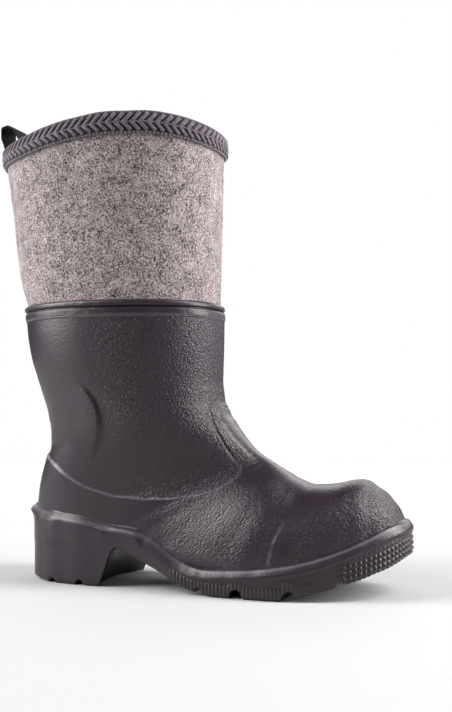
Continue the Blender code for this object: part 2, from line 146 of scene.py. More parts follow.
# %% [markdown]
# ## Moulded EVA foam
# Foot and sole are one shot of EVA foam, the light, slightly rubbery plastic of garden clogs. The
# mould gives it a satin skin with a leathery grain: small pebbles a good millimetre across, with
# finer wrinkles between them. The grain is strong on the toe and the front of the shaft, weaker on
# the flanks, and worn smooth at the heel, so it is scaled by a grain value that each piece carries.
# An edge value paints a highlight along the raised lines, where they catch the light.

# %% EVA material
eva, tree, place = new_material("eva_foam_moulded")
PEBBLE_MM = 1.3
WRINKLE_MM = 0.7
CLOUD_MM = 38.0
GRAIN_DEPTH_MM = 0.42
# The wrinkles lean forward on the flank, and each is nearly twice as long as it is wide.
WRINKLE_LEAN = math.radians(42.0)
WRINKLE_STRETCH = (0.6, 1.0, 1.0)
# A larger noise pushes them about, so that they don't lie in rows.
WARP_MM = 3.0
WARP_REACH_MM = 2.6
leaning = add_node(tree, "VectorRotate", {"Vector": place, "Angle": WRINKLE_LEAN}, rotation_type="Y_AXIS")
drawn = add_node(tree, "VectorMath", {0: leaning.outputs[0], 1: WRINKLE_STRETCH}, operation="MULTIPLY")
warp = add_node(tree, "TexNoise", {"Vector": place, "Scale": per_metre(WARP_MM), "Detail": 2.0})
pushed = {0: warp.outputs["Color"], 1: (WARP_REACH_MM * MM,) * 3, 2: drawn.outputs[0]}
bent = add_node(tree, "VectorMath", pushed, operation="MULTIPLY_ADD").outputs[0]
pebble = add_node(tree, "TexVoronoi", {"Vector": bent, "Scale": per_metre(PEBBLE_MM)}, feature="F1")
wrinkles = {"Vector": bent, "Scale": per_metre(WRINKLE_MM), "Detail": 3.0, "Distortion": 0.5}
wrinkle = add_node(tree, "TexNoise", wrinkles).outputs["Fac"]
both = {0: wrinkle, 1: -0.5, 2: pebble.outputs["Distance"]}
skin = add_node(tree, "Math", both, operation="MULTIPLY_ADD").outputs[0]
grain = add_node(tree, "Attribute", attribute_name="grain").outputs["Fac"]
relief = add_node(tree, "Math", {0: skin, 1: grain}, operation="MULTIPLY").outputs[0]
sunk = {"Strength": 1.0, "Distance": GRAIN_DEPTH_MM * MM, "Height": relief}
bump = add_node(tree, "Bump", sunk, invert=True).outputs["Normal"]
cloud = add_node(tree, "TexNoise", {"Vector": place, "Scale": per_metre(CLOUD_MM), "Detail": 3.0})
clouded = {"Fac": cloud.outputs["Fac"], "Color1": "#201820", "Color2": "#271e26"}
body = add_node(tree, "MixRGB", clouded).outputs["Color"]
# The edge value mixes in #837c82, a painted highlight along the raised lines
edge = add_node(tree, "Attribute", attribute_name="edge").outputs["Fac"]
painted_highlight_colour = add_node(tree, "MixRGB", {"Fac": edge, "Color1": body, "Color2": "#837c82"}).outputs["Color"]
satin = {"Value": wrinkle, "From Min": 0.3, "From Max": 0.7, "To Min": 0.3, "To Max": 0.42}
gloss = add_node(tree, "MapRange", satin).outputs["Result"]
dress(eva, {"Base Color": painted_highlight_colour, "Roughness": gloss, "IOR": 1.49, "Normal": bump})

# %% [markdown]
# ## Pressed wool felt
# The shaft is thick grey felt, pressed from wool of several shades. Up close it is a tangle of
# light and dark fibres, so the eye sees specks of about a millimetre on larger soft clouds.
# Its loose fibres catch light at the rim, which the shader's sheen stands for.

# %% Felt material
felt, tree, place = new_material("wool_felt_pressed")
SPECK_MM = 1.3
BLOTCH_MM = 9.0
FIBRE_MM = 0.7
NAP_DEPTH_MM = 0.6
specks = {"Vector": place, "Scale": per_metre(SPECK_MM), "Detail": 4.0, "Roughness": 0.7}
speck = add_node(tree, "TexNoise", specks).outputs["Fac"]
blotches = {"Vector": place, "Scale": per_metre(BLOTCH_MM), "Detail": 3.0}
blotch = add_node(tree, "TexNoise", blotches).outputs["Fac"]
fibres = {"Vector": place, "Scale": per_metre(FIBRE_MM), "Detail": 3.0, "Distortion": 1.2}
fibre = add_node(tree, "TexNoise", fibres).outputs["Fac"]
mottle = add_node(tree, "MixRGB", {"Fac": 0.16, "Color1": speck, "Color2": blotch}).outputs["Color"]
shade = add_node(tree, "MapRange", {"Value": mottle, "From Min": 0.4, "From Max": 0.63}).outputs["Result"]
wool = add_node(tree, "MixRGB", {"Fac": shade, "Color1": "#242020", "Color2": "#c6bab9"}).outputs["Color"]
tangle = add_node(tree, "MixRGB", {"Fac": 0.5, "Color1": fibre, "Color2": speck}).outputs["Color"]
nap = {"Strength": 0.9, "Distance": NAP_DEPTH_MM * MM, "Height": tangle}
dress(felt, {
    "Base Color": wool, "Roughness": 0.95, "Specular IOR Level": 0.15,
    "Sheen Weight": 0.4, "Sheen Roughness": 0.45, "Sheen Tint": "#e8dfdc",
    "Normal": add_node(tree, "Bump", nap).outputs["Normal"],
})

# %% [markdown]
# ## Braid, webbing and insole
# The collar tape is a plaited braid of soft dull yarn: each plait shows fine threads along its
# length. The loop is black polyester webbing, woven in a twill that shows as slanted ribs on its own
# UV map. The insole is needled felt, a duller relation of the shaft.

# %% Braid material
braid, tree, place = new_material("polyester_yarn_braided")
THREAD_MM = 0.8
DYE_MM = 14.0
THREAD_DEPTH_MM = 0.35
threads = {"Vector": place, "Scale": per_metre(THREAD_MM), "Detail": 2.0}
yarn = add_node(tree, "TexNoise", threads).outputs["Fac"]
dye = add_node(tree, "TexNoise", {"Vector": place, "Scale": per_metre(DYE_MM), "Detail": 2.0})
dyed = {"Fac": dye.outputs["Fac"], "Color1": "#645a63", "Color2": "#8b828a"}
ply = add_node(tree, "MixRGB", dyed).outputs["Color"]
fuzz = add_node(tree, "MapRange", {"Value": yarn, "From Min": 0.36, "From Max": 0.64, "To Min": 0.1})
between = {"Fac": fuzz.outputs["Result"], "Color1": "#352d35", "Color2": ply}
lit = add_node(tree, "MixRGB", between).outputs["Color"]
plait = add_node(tree, "Attribute", attribute_name="plait").outputs["Fac"]
# Where the plait value is low the colour is #151216, a painted shade in the gaps between plaits
painted_gap_shade = add_node(tree, "MixRGB", {"Fac": plait, "Color1": "#151216", "Color2": lit}).outputs["Color"]
seam = add_node(tree, "Attribute", attribute_name="stitch").outputs["Fac"]
sewn = add_node(tree, "MixRGB", {"Fac": seam, "Color1": painted_gap_shade, "Color2": "#968d94"}).outputs["Color"]
twisted = {"Strength": 0.8, "Distance": THREAD_DEPTH_MM * MM, "Height": yarn}
dress(braid, {
    "Base Color": sewn, "Roughness": 0.85, "Specular IOR Level": 0.25, "Sheen Weight": 0.25,
    "Normal": add_node(tree, "Bump", twisted).outputs["Normal"],
})

# %% Webbing material
webbing, tree, place = new_material("polyester_webbing_woven")
# The real ribs are 0.5 mm apart, too fine to show here, so they are drawn at 1.4 mm.
RIB_MM = 1.4
SLUB_MM = 1.1
TWILL_DEPTH_MM = 0.3
LOOP_GIRTH_MM = 47.0
LOOP_LENGTH_MM = 79.0
# A diagonal wave counts ten times the sum of both coordinates, and repeats after a full turn.
TWILL_SCALE = 2 * math.pi / (10 * math.sqrt(2.0))
own = add_node(tree, "TexCoord").outputs["UV"]
repeats = (LOOP_GIRTH_MM / RIB_MM, LOOP_LENGTH_MM / RIB_MM, 1.0)
spread = add_node(tree, "Mapping", {"Vector": own, "Scale": repeats}).outputs["Vector"]
twill = {"Vector": spread, "Scale": TWILL_SCALE, "Distortion": 0.4}
ribs = add_node(tree, "TexWave", twill, bands_direction="DIAGONAL").outputs["Fac"]
weft = add_node(tree, "MixRGB", {"Fac": ribs, "Color1": "#060607", "Color2": "#131316"}).outputs["Color"]
slub = add_node(tree, "TexNoise", {"Vector": place, "Scale": per_metre(SLUB_MM), "Detail": 2.0})
uneven = {"Fac": slub.outputs["Fac"], "Color1": weft, "Color2": "#0b0b0d"}
ribbed = {"Strength": 0.8, "Distance": TWILL_DEPTH_MM * MM, "Height": ribs}
dress(webbing, {
    "Base Color": add_node(tree, "MixRGB", uneven).outputs["Color"],
    "Roughness": 0.7, "Specular IOR Level": 0.25, "Sheen Weight": 0.05,
    "Normal": add_node(tree, "Bump", ribbed).outputs["Normal"],
})

# %% Insole material
needled, tree, place = new_material("needled_felt_insole")
TUFT_MM = 1.4
TUFT_DEPTH_MM = 0.5
tufts = {"Vector": place, "Scale": per_metre(TUFT_MM), "Detail": 4.0}
tuft = add_node(tree, "TexNoise", tufts).outputs["Fac"]
tone = add_node(tree, "MixRGB", {"Fac": tuft, "Color1": "#37332f", "Color2": "#7b746d"}).outputs["Color"]
pile = {"Strength": 0.7, "Distance": TUFT_DEPTH_MM * MM, "Height": tuft}
bump = add_node(tree, "Bump", pile).outputs["Normal"]
dress(needled, {"Base Color": tone, "Roughness": 0.95, "Normal": bump})

# %% [markdown]
# ## The last
# A boot is built round a last, a solid foot form. Its shape is a short table: each row is one
# section, from the rim down over heel and instep to the toe, with its front and back points, its
# half widths and how square it is. A smooth curve through the rows gives every section between.

# %% Last table
LAST_COLUMNS = (
    "front_x", "front_z", "back_x", "back_z", "middle_y",
    "lateral", "medial", "widest", "front_power", "back_power",
)
LAST_ROWS = (
    (156.4, 203.0, -5.4, 203.0, 0.0, 61.0, 61.0, 0.50, 2.15, 2.15),
    (156.2, 181.0, -2.2, 180.0, 0.0, 59.5, 59.5, 0.50, 2.15, 2.15),
    (155.8, 162.0, 4.0, 159.0, 0.0, 57.0, 57.0, 0.50, 2.15, 2.15),
    (156.6, 147.0, 10.0, 142.0, 0.0, 55.0, 55.0, 0.49, 2.15, 2.15),
    (160.3, 132.6, 15.0, 125.0, 0.0, 53.5, 53.0, 0.48, 2.15, 2.15),
    (166.2, 122.9, 16.6, 108.0, 0.0, 51.5, 50.5, 0.46, 2.15, 2.15),
    (172.2, 114.8, 13.0, 94.0, 0.0, 48.5, 47.0, 0.45, 2.15, 2.2),
    (177.7, 108.3, 7.8, 78.0, 0.0, 45.0, 43.5, 0.44, 2.15, 2.25),
    (182.2, 103.5, 4.8, 62.0, 0.0, 42.0, 40.5, 0.43, 2.15, 2.3),
    (186.2, 100.0, 3.8, 46.0, 0.0, 40.0, 38.5, 0.42, 2.15, 2.4),
    (189.8, 97.4, 6.5, 31.0, 0.0, 38.8, 37.2, 0.41, 2.15, 2.5),
    (193.3, 95.2, 20.0, 19.0, 0.0, 38.4, 36.4, 0.40, 2.15, 2.8),
    (196.8, 93.2, 48.0, 15.0, 0.0, 39.0, 36.0, 0.38, 2.15, 3.2),
    (200.8, 90.8, 84.0, 14.0, 0.0, 40.6, 36.4, 0.36, 2.15, 3.4),
    (205.4, 88.0, 122.0, 12.0, 0.0, 44.0, 39.4, 0.34, 2.15, 3.4),
    (211.4, 84.3, 160.0, 7.0, 0.5, 49.0, 45.4, 0.31, 2.15, 3.4),
    (220.6, 79.3, 193.0, 4.0, 1.5, 51.6, 49.4, 0.28, 2.15, 3.4),
    (233.8, 76.3, 222.0, 6.0, 3.0, 50.8, 50.0, 0.26, 2.2, 3.4),
    (248.8, 77.6, 245.0, 10.0, 4.5, 46.6, 47.6, 0.27, 2.3, 3.4),
    (262.2, 79.4, 263.5, 17.0, 6.0, 40.6, 42.6, 0.30, 2.4, 3.2),
    (274.2, 74.6, 278.0, 25.0, 7.0, 32.6, 35.0, 0.34, 2.4, 3.0),
    (284.4, 66.2, 288.0, 33.0, 8.0, 23.6, 25.6, 0.40, 2.3, 2.6),
    (291.4, 56.4, 293.6, 40.0, 8.0, 13.2, 14.2, 0.45, 2.2, 2.3),
    (294.4, 50.0, 295.0, 45.0, 8.0, 4.0, 4.0, 0.50, 2.0, 2.0),
)
print(len(LAST_ROWS), "sections in the last's table")

# %% Smooth curves
def curve(rows, places):
    """Heights of a smooth curve through rows of (place, height), level at its turning points."""
    table = np.array(rows, float)
    known = table[:, 0]
    steps = np.diff(known)
    rises = np.diff(table[:, 1]) / steps
    slopes = np.concatenate([rises[:1], np.zeros(len(rises) - 1), rises[-1:]])
    mean = (rises[:-1] * steps[1:] + rises[1:] * steps[:-1]) / (steps[:-1] + steps[1:])
    slopes[1:-1] = np.where(rises[:-1] * rises[1:] > 0, mean, 0.0)
    places = np.clip(np.asarray(places, float), known[0], known[-1])
    at = np.clip(np.searchsorted(known, places) - 1, 0, len(steps) - 1)
    along = (places - known[at]) / steps[at]
    start = table[at, 1] + along * steps[at] * slopes[at]
    end = table[at + 1, 1] - (1 - along) * steps[at] * slopes[at + 1]
    blend = along * along * (3 - 2 * along)
    return start * (1 - blend) + end * blend


def power(value, exponent):
    """A power that keeps the value's sign."""
    return np.sign(value) * np.abs(value) ** exponent


step = ((0.0, 0.0), (1.0, 1.0), (2.0, 1.0))
print("halfway up a step the curve is at", curve(step, 0.5).round(3))

# %% Sections of the last
def last_sections(places, turns):
    """Points of the last at places down the table and turns round each section."""
    marks = np.arange(len(LAST_ROWS))
    table = np.array(LAST_ROWS)
    row = {
        name: curve(np.stack([marks, table[:, i]], 1), places)[:, None] for i, name in enumerate(LAST_COLUMNS)
    }
    ahead, aside = np.cos(turns)[None, :], np.sin(turns)[None, :]
    shape = 2 / np.where(ahead > 0, row["front_power"], row["back_power"])
    reach = np.where(ahead > 0, 1 - row["widest"], row["widest"])
    share = row["widest"] + reach * power(ahead, shape)
    width = np.where(aside > 0, row["medial"], row["lateral"])
    x = row["back_x"] + share * (row["front_x"] - row["back_x"])
    y = row["middle_y"] + width * power(aside, shape)
    z = row["back_z"] + share * (row["front_z"] - row["back_z"])
    return np.stack(np.broadcast_arrays(x, y, z), 2)


def run_of(points):
    """Distance run along a line of points, from 0 at its first."""
    steps = np.linalg.norm(np.diff(points, axis=0), axis=1)
    return np.concatenate([[0.0], np.cumsum(steps)])


FINE_TURNS = np.linspace(0, 2 * np.pi, 2401)


def even_last(rings, around, crowd=((0.0, 1.0),), weigh=None):
    """The last as a grid of rings with a doubled seam; crowd packs the rings, weigh packs their points."""
    fine = np.linspace(0, len(LAST_ROWS) - 1, 2400)
    coarse = last_sections(fine, np.linspace(0, 2 * np.pi, 48, endpoint=False))
    spacing = np.linalg.norm(np.diff(coarse, axis=0), axis=2).mean(1)
    spacing = spacing * np.interp(fine[1:], *np.array(crowd).T)
    run = np.concatenate([[0.0], np.cumsum(spacing)])
    places = np.interp(np.linspace(0, run[-1], rings), run, fine)
    grid = np.empty((rings, around + 1, 3))
    for i, ring in enumerate(last_sections(places, FINE_TURNS)):
        length = run_of(ring)
        if weigh is not None:
            share = np.diff(length) * weigh((ring[1:] + ring[:-1]) / 2)
            length = np.concatenate([[0.0], np.cumsum(share)])
        even = np.linspace(0, length[-1], around + 1)
        grid[i] = np.stack([np.interp(even, length, ring[:, k]) for k in range(3)], 1)
    return grid


def outward(grid):
    """Unit normals of a grid of rings whose last column repeats the first."""
    along = np.gradient(grid, axis=0)
    open_grid = grid[:, :-1]
    around = np.roll(open_grid, -1, 1) - np.roll(open_grid, 1, 1)
    around = np.concatenate([around, around[:, :1]], 1)
    normal = np.cross(along, around)
    return normal / np.maximum(np.linalg.norm(normal, axis=2, keepdims=True), 1e-9)


probe = last_sections(np.array([0.0, 16.0]), np.array([0.0, np.pi]))
print("rim runs from", probe[0, 1].round(1), "to", probe[0, 0].round(1))

# %% [markdown]
# ## Wrapping a grid
# Extruding a last by hand, loop by loop, would never meet the solids. So each large skin starts as
# Blender's grid primitive with one vertex for each point that we worked out, and its vertices are
# moved there. Then its seam is merged and its faces are turned outwards in edit mode.

# %% Grid helpers
def grid_piece(name, points):
    """A grid primitive whose vertices are moved to rows of points on the last, in millimetres."""
    rows, columns = points.shape[:2]
    bpy.ops.mesh.primitive_grid_add(x_subdivisions=columns - 1, y_subdivisions=rows - 1, size=1.0)
    piece = bpy.context.object
    piece.name = name
    piece.data.name = name
    place = (points.reshape(-1, 3) + (SHIFT, 0.0, 0.0)) * MM
    piece.data.vertices.foreach_set("co", place.astype(np.float32).ravel())
    piece.data.update()
    return piece


def give_value(piece, name, values):
    """A number on each vertex that a material reads by name."""
    layer = piece.data.attributes.new(name, "FLOAT", "POINT")
    layer.data.foreach_set("value", np.broadcast_to(values, len(piece.data.vertices)).astype(np.float32))


def weld(piece, within_mm=0.004):
    """Merges a piece's seams and turns its faces outwards."""
    bpy.ops.object.select_all(action="DESELECT")
    piece.select_set(True)
    bpy.context.view_layer.objects.active = piece
    bpy.ops.object.mode_set(mode="EDIT")
    bpy.ops.mesh.select_all(action="SELECT")
    bpy.ops.mesh.remove_doubles(threshold=within_mm * MM)
    bpy.ops.mesh.normals_make_consistent(inside=False)
    bpy.ops.object.mode_set(mode="OBJECT")
    bpy.ops.object.shade_smooth()
    return piece


def join(pieces):
    """Several objects as one, under the first one's name."""
    bpy.ops.object.select_all(action="DESELECT")
    for piece in pieces:
        piece.select_set(True)
    bpy.context.view_layer.objects.active = pieces[0]
    bpy.ops.object.join()
    return pieces[0]


def finish_piece(piece, node, material):
    """Gives a piece its material, hangs it under the root body and hides the solid that it stands for."""
    piece.data.materials.clear()
    piece.data.materials.append(material)
    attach(piece, "root")
    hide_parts(node)
    piece.data.calc_loop_triangles()
    low, high = np.array(piece.bound_box).min(0), np.array(piece.bound_box).max(0)
    print(piece.name, len(piece.data.loop_triangles), "triangles,", ((high - low) / MM).round(1), "mm")


# %% [markdown]
# ## Lines on the upper
# The moulding carries four lines. The edge of the lower panel runs round the heel and along the
# flank, and turns up beside the instep as a groove. The toe cap has an edge, the ankle pad shows its
# front edge, and a thin bead runs round under the joint. The first three are drawn from the side. For
# each vertex we need how far it lies inside an edge, measured on the surface, so the side-view distance
# is stretched where the surface turns away. Vertices next to an edge are slid onto it, because the grid
# doesn't follow the edge and would otherwise make it ragged.

# %% Edge lines
HEEL_EDGE = ((-40.0, 100.0), (10.0, 98.5), (22.0, 95.6), (33.4, 90.3), (49.0, 81.2))
PANEL_EDGE = HEEL_EDGE + (
    (74.0, 71.2), (99.0, 67.2), (120.0, 66.7), (140.0, 68.6), (157.8, 71.8), (170.5, 77.0), (176.2, 81.3),
    (179.6, 85.4), (179.8, 90.0), (175.9, 95.4), (170.8, 102.6), (166.0, 111.0), (160.7, 120.4),
    (156.9, 130.0), (155.8, 135.0), (156.6, 138.6), (159.5, 140.4), (166.0, 141.4), (190.0, 143.0),
)
PANEL_EDGE_MEDIAL = HEEL_EDGE + (
    (74.0, 71.4), (99.0, 67.8), (124.0, 67.8), (150.0, 70.4), (178.0, 75.6), (191.0, 80.0), (195.0, 85.6),
    (188.0, 91.5), (175.0, 101.0), (164.5, 112.8), (157.8, 126.2), (155.2, 134.0), (156.4, 139.6),
    (163.0, 143.0), (190.0, 146.0),
)
TOE_CAP_EDGE = (
    (208.0, 0.0), (211.4, 29.0), (213.8, 39.5), (216.4, 45.6), (222.0, 55.0), (232.0, 64.0),
    (253.0, 80.0), (266.0, 100.0),
)
PAD_EDGE = (
    (44.0, 149.2), (52.0, 150.4), (60.0, 150.6), (65.0, 149.8), (69.4, 147.4), (73.4, 143.2), (77.0, 137.2),
    (79.2, 130.6), (79.9, 124.6), (79.8, 119.0), (78.6, 112.8), (76.2, 105.6), (73.0, 99.4), (69.0, 93.6),
    (63.0, 88.0),
)
print("points on the edges:", len(PANEL_EDGE), len(TOE_CAP_EDGE), len(PAD_EDGE))

# %% Edge helpers
def rounded(points, count):
    """A side-view line through points, read at even steps."""
    marks = np.arange(len(points))
    at = np.linspace(0, len(points) - 1, count)
    table = np.array(points)
    return np.stack([curve(np.stack([marks, table[:, k]], 1), at) for k in (0, 1)], 1)


def side_distance(points, line):
    """Distance from each side-view point to a line, the unit direction away from it, and its side."""
    best = np.full(len(points), 1e9)
    away = np.zeros((len(points), 2))
    left = np.zeros(len(points))
    for start, end in zip(line[:-1], line[1:]):
        along = end - start
        share = np.clip(((points - start) @ along) / (along @ along), 0.0, 1.0)
        gap = points - start - share[:, None] * along
        length = np.linalg.norm(gap, axis=1)
        nearer = length < best
        best[nearer] = length[nearer]
        away[nearer] = gap[nearer] / np.maximum(length[nearer], 1e-9)[:, None]
        left[nearer] = np.sign(along[0] * gap[nearer, 1] - along[1] * gap[nearer, 0])
    return best, away, left


def inside_edge(points, normals, line):
    """Distance inside an edge along the surface, with the surface direction that leads inside."""
    gap, away, left = side_distance(points[:, [0, 2]], line)
    depth = -left * gap
    inward = np.stack([-left * away[:, 0], np.zeros(len(points)), -left * away[:, 1]], 1)
    across = (inward * normals).sum(1)
    lead = inward - across[:, None] * normals
    slope = np.maximum(np.linalg.norm(lead, axis=1), 0.3)
    return depth / slope, lead / slope[:, None]


def slide_to_lines(points, depth, lead, lines, within, share):
    """Slides the vertices near an edge onto the nearest of the lines that lie at those depths beside it."""
    nearest = np.argmin(np.abs(depth[:, None] - np.array(lines)), axis=1)
    step = np.where(np.abs(depth) < within, (np.array(lines)[nearest] - depth) * share, 0.0)
    return points + step[:, None] * lead, depth + step


edge_line = rounded(PANEL_EDGE, 180)
print("panel edge is", round(run_of(edge_line)[-1]), "mm long from the side")

# %% [markdown]
# ## The upper
# Now the outer skin: rings down the last, relief added along the normals. Inside it a coarser skin
# follows at the wall's thickness, and the two meet at the rim, so the upper is one closed wall as in
# the mould. Where the foot rests, both skins flatten onto the footbed.

# %% Upper skins
UPPER_RINGS = 296
UPPER_AROUND = 292
HOLLOW_RINGS = 34
# Place in the last's table against how densely its rings lie: at the rim and across the instep
RING_CROWD = (
    (0.0, 4.0), (0.16, 4.0), (0.24, 0.6), (2.8, 0.6), (3.4, 1.5), (10.5, 1.5), (12.0, 1.0), (23.0, 1.0),
)
# Instep groove and ankle pad from the side: middle x and z, reach in x and z, and how many more points
FINE_PLACES = ((166.0, 114.0, 16.0, 26.0, 1.3), (79.0, 123.0, 7.0, 22.0, 0.9))
FOOTBED_ROWS = (
    (-20.0, 28.5), (60.0, 27.5), (92.0, 34.5), (108.0, 28.5), (125.0, 22.5), (150.0, 15.5),
    (172.0, 11.5), (190.0, 10.5), (210.0, 11.0), (230.0, 13.5), (250.0, 18.5), (270.0, 25.0),
    (290.0, 33.5), (310.0, 43.0),
)


def ramp(value, low, high):
    """0 below low, 1 above high, and a smooth rise between them."""
    share = np.clip((value - low) / (high - low), 0.0, 1.0)
    return share * share * (3 - 2 * share)


def bell(value, middle, width):
    """1 at the middle, falling away to both sides."""
    return np.exp(-(((value - middle) / width) ** 2))


def crowding(points):
    """Few points under the foot, which the sole hides; many at the fine places."""
    x, _, z = points.T
    density = 0.3 + 0.7 * ramp(z - curve(FOOTBED_ROWS, x), 2.0, 8.0)
    for middle_x, middle_z, reach_x, reach_z, more in FINE_PLACES:
        density = density + more * bell(x, middle_x, reach_x) * bell(z, middle_z, reach_z)
    return density


skin_grid = even_last(UPPER_RINGS, UPPER_AROUND, RING_CROWD, crowding)
normals = outward(skin_grid).reshape(-1, 3)
points = skin_grid.reshape(-1, 3).copy()
print(len(points), "points on the outer skin")

# %% Edge of the lower panel
EDGE_WIDTH = 1.1
STEP_LINES = (-EDGE_WIDTH / 2, EDGE_WIDTH / 2)
GROOVE_LINES = (-0.75, 0.0, 0.75)
# How near an edge a vertex has to lie to be slid onto its lines
STEP_CATCH, GROOVE_CATCH = 0.95, 1.2
# Where the edge turns into the groove beside the instep
GROOVE_X, GROOVE_Z = (146.0, 152.0), (86.0, 98.0)
# The edge dies away at the front corner, over the instep's middle and round the heel
CORNER_X, CORNER_Z, CORNER_SHARE = (179.0, 12.0), (83.0, 9.0), 0.65
MIDDLE_Y, MIDDLE_Z = (8.0, 15.0), (118.0, 128.0)
HEEL_BACK_X, HEEL_SHARE = (-26.0, -8.0), 0.35
x, y, z = points.T
soft_corner = CORNER_SHARE * bell(x, *CORNER_X) * bell(z, *CORNER_Z)
soft_front = (1.0 - ramp(np.abs(y), *MIDDLE_Y)) * ramp(z, *MIDDLE_Z)
soft_back = HEEL_SHARE * ramp(-x, *HEEL_BACK_X)
soft = np.clip(np.maximum.reduce([soft_corner, soft_front, soft_back]), 0.0, 1.0)
depth = np.empty(len(points))
lead = np.empty((len(points), 3))
for side, line in ((y < 0, PANEL_EDGE), (y >= 0, PANEL_EDGE_MEDIAL)):
    depth[side], lead[side] = inside_edge(points[side], normals[side], rounded(line, 200))
in_groove = ramp(z, *GROOVE_Z) * ramp(x, *GROOVE_X) > 0.5
for part, lines, catch in ((~in_groove, STEP_LINES, STEP_CATCH), (in_groove, GROOVE_LINES, GROOVE_CATCH)):
    points[part], depth[part] = slide_to_lines(
        points[part], depth[part], lead[part], lines, catch, (1.0 - soft)[part]
    )
print(int((np.abs(depth) < GROOVE_CATCH).sum()), "points lie along the panel's edge")

# %% Step and groove of the lower panel
PANEL_STEP = 1.0
GROOVE_DEPTH = 1.5
# Where the panel's step gives way to the groove
INSTEP_X, INSTEP_Z = (140.0, 150.0), (84.0, 100.0)
# How much wider the step can be where its edge dies away
SOFT_WIDTH = 12.0
# Middle and width, across the edge, of the groove's channel, its lip and the painted highlight line
CHANNEL, LIP, HIGHLIGHT_LINE, LIP_HIGHLIGHT = (0.0, 0.45), (-1.1, 0.6), (0.35, 0.8), 0.15
PANEL_FADE = (0.0, 14.0)
x, y, z = points.T
width = EDGE_WIDTH + SOFT_WIDTH * soft
instep = ramp(z, *INSTEP_Z) * ramp(x, *INSTEP_X)
panel = ramp(depth, -width / 2, width / 2)
channel = bell(depth, *CHANNEL) * instep * (1.0 - soft)
lip = bell(depth, *LIP) * instep * (1.0 - soft)
rise = panel + (ramp(depth, *PANEL_FADE) - panel) * instep
raise_by = PANEL_STEP * rise - GROOVE_DEPTH * channel
# A painted highlight along the panel's edge and on the groove's lip
painted_highlight = bell(depth, *HIGHLIGHT_LINE) * (1.0 - soft) * (1.0 - instep) + LIP_HIGHLIGHT * lip
print("panel raised on", int((panel > 0.5).sum()), "of", len(points), "vertices")

# %% Toe cap
TOE_CAP_STEP = 2.0
# The line across the flank is a small part of the step; the rest swells up over the toe
CAP_LINE, CAP_SWELL = 0.3, (-3.0, 15.0)
# Middle and width of the painted highlight along the toe cap's edge, and how light it is
CAP_HIGHLIGHT_LINE, CAP_HIGHLIGHT = (0.3, 0.7), 0.45
CAP_LOW_Z, CAP_HIGH_Z = (14.0, 24.0), (42.0, 58.0)
cap_depth, cap_lead = inside_edge(points, normals, rounded(TOE_CAP_EDGE, 90))
crisp = ramp(z, *CAP_LOW_Z) * (1.0 - ramp(z, *CAP_HIGH_Z))
points, cap_depth = slide_to_lines(points, cap_depth, cap_lead, STEP_LINES, STEP_CATCH, crisp)
cap = ramp(cap_depth, -EDGE_WIDTH / 2, EDGE_WIDTH / 2) * CAP_LINE * crisp
swell = ramp(cap_depth, *CAP_SWELL)
cap_step = cap * (1 - swell) + swell
raise_by = np.where(cap_step > 0, PANEL_STEP * rise + (TOE_CAP_STEP - PANEL_STEP) * cap_step, raise_by)
painted_highlight = np.maximum(painted_highlight, CAP_HIGHLIGHT * crisp * bell(cap_depth, *CAP_HIGHLIGHT_LINE))
print("toe cap stands out by", raise_by.max().round(2), "mm")

# %% Ankle pad and rim bead
# The ankle pad stands up only at its front edge; behind it and before it the flank levels out again
PAD_STEP, PAD_Z, PAD_HALF_HEIGHT, PAD_START_X = 1.05, 123.5, 29.0, (57.0, 68.0)
PAD_LINES, PAD_CATCH = (-0.9, 0.0, 0.9), 1.3
# Distances from the edge: where the relief starts to level out, and where it is gone, at the pad's ends
# and at its middle
PAD_LEVEL_FROM, PAD_LEVEL_END, PAD_LEVEL_MIDDLE = 1.5, 3.0, 25.0
x, y, z = points.T
pad_depth, pad_lead = inside_edge(points, normals, rounded(PAD_EDGE, 60))
pad_middle = np.clip(1.0 - ((z - PAD_Z) / PAD_HALF_HEIGHT) ** 2, 0.0, 1.0)
pad_tall = PAD_STEP * pad_middle ** 0.6 * ramp(x, *PAD_START_X)
points, pad_depth = slide_to_lines(
    points, pad_depth, pad_lead, PAD_LINES, PAD_CATCH, np.minimum(pad_tall, 1.0)
)
pad_reach = PAD_LEVEL_END + (PAD_LEVEL_MIDDLE - PAD_LEVEL_END) * pad_middle
pad = 2.0 * ramp(pad_depth, PAD_LINES[0], PAD_LINES[-1]) - 1.0
pad = pad * (1.0 - ramp(np.abs(pad_depth), PAD_LEVEL_FROM, pad_reach))
# The rim bead: its height and width, how far it stands out, and how light its painted highlight is
RIM_BEAD, RIM_BEAD_HEIGHT, RIM_HIGHLIGHT = (202.3, 0.55), 0.45, 0.55
rim_bead = bell(points[:, 2], *RIM_BEAD)
raise_by = raise_by + pad_tall * pad + RIM_BEAD_HEIGHT * rim_bead
painted_highlight = np.maximum(painted_highlight, RIM_HIGHLIGHT * rim_bead)
points = points + raise_by[:, None] * normals
print("tallest relief", round(float(raise_by.max()), 2), "mm")

# %% Grain of the upper
LEAST_GRAIN = 0.24
FLANK_GRAIN = 0.5
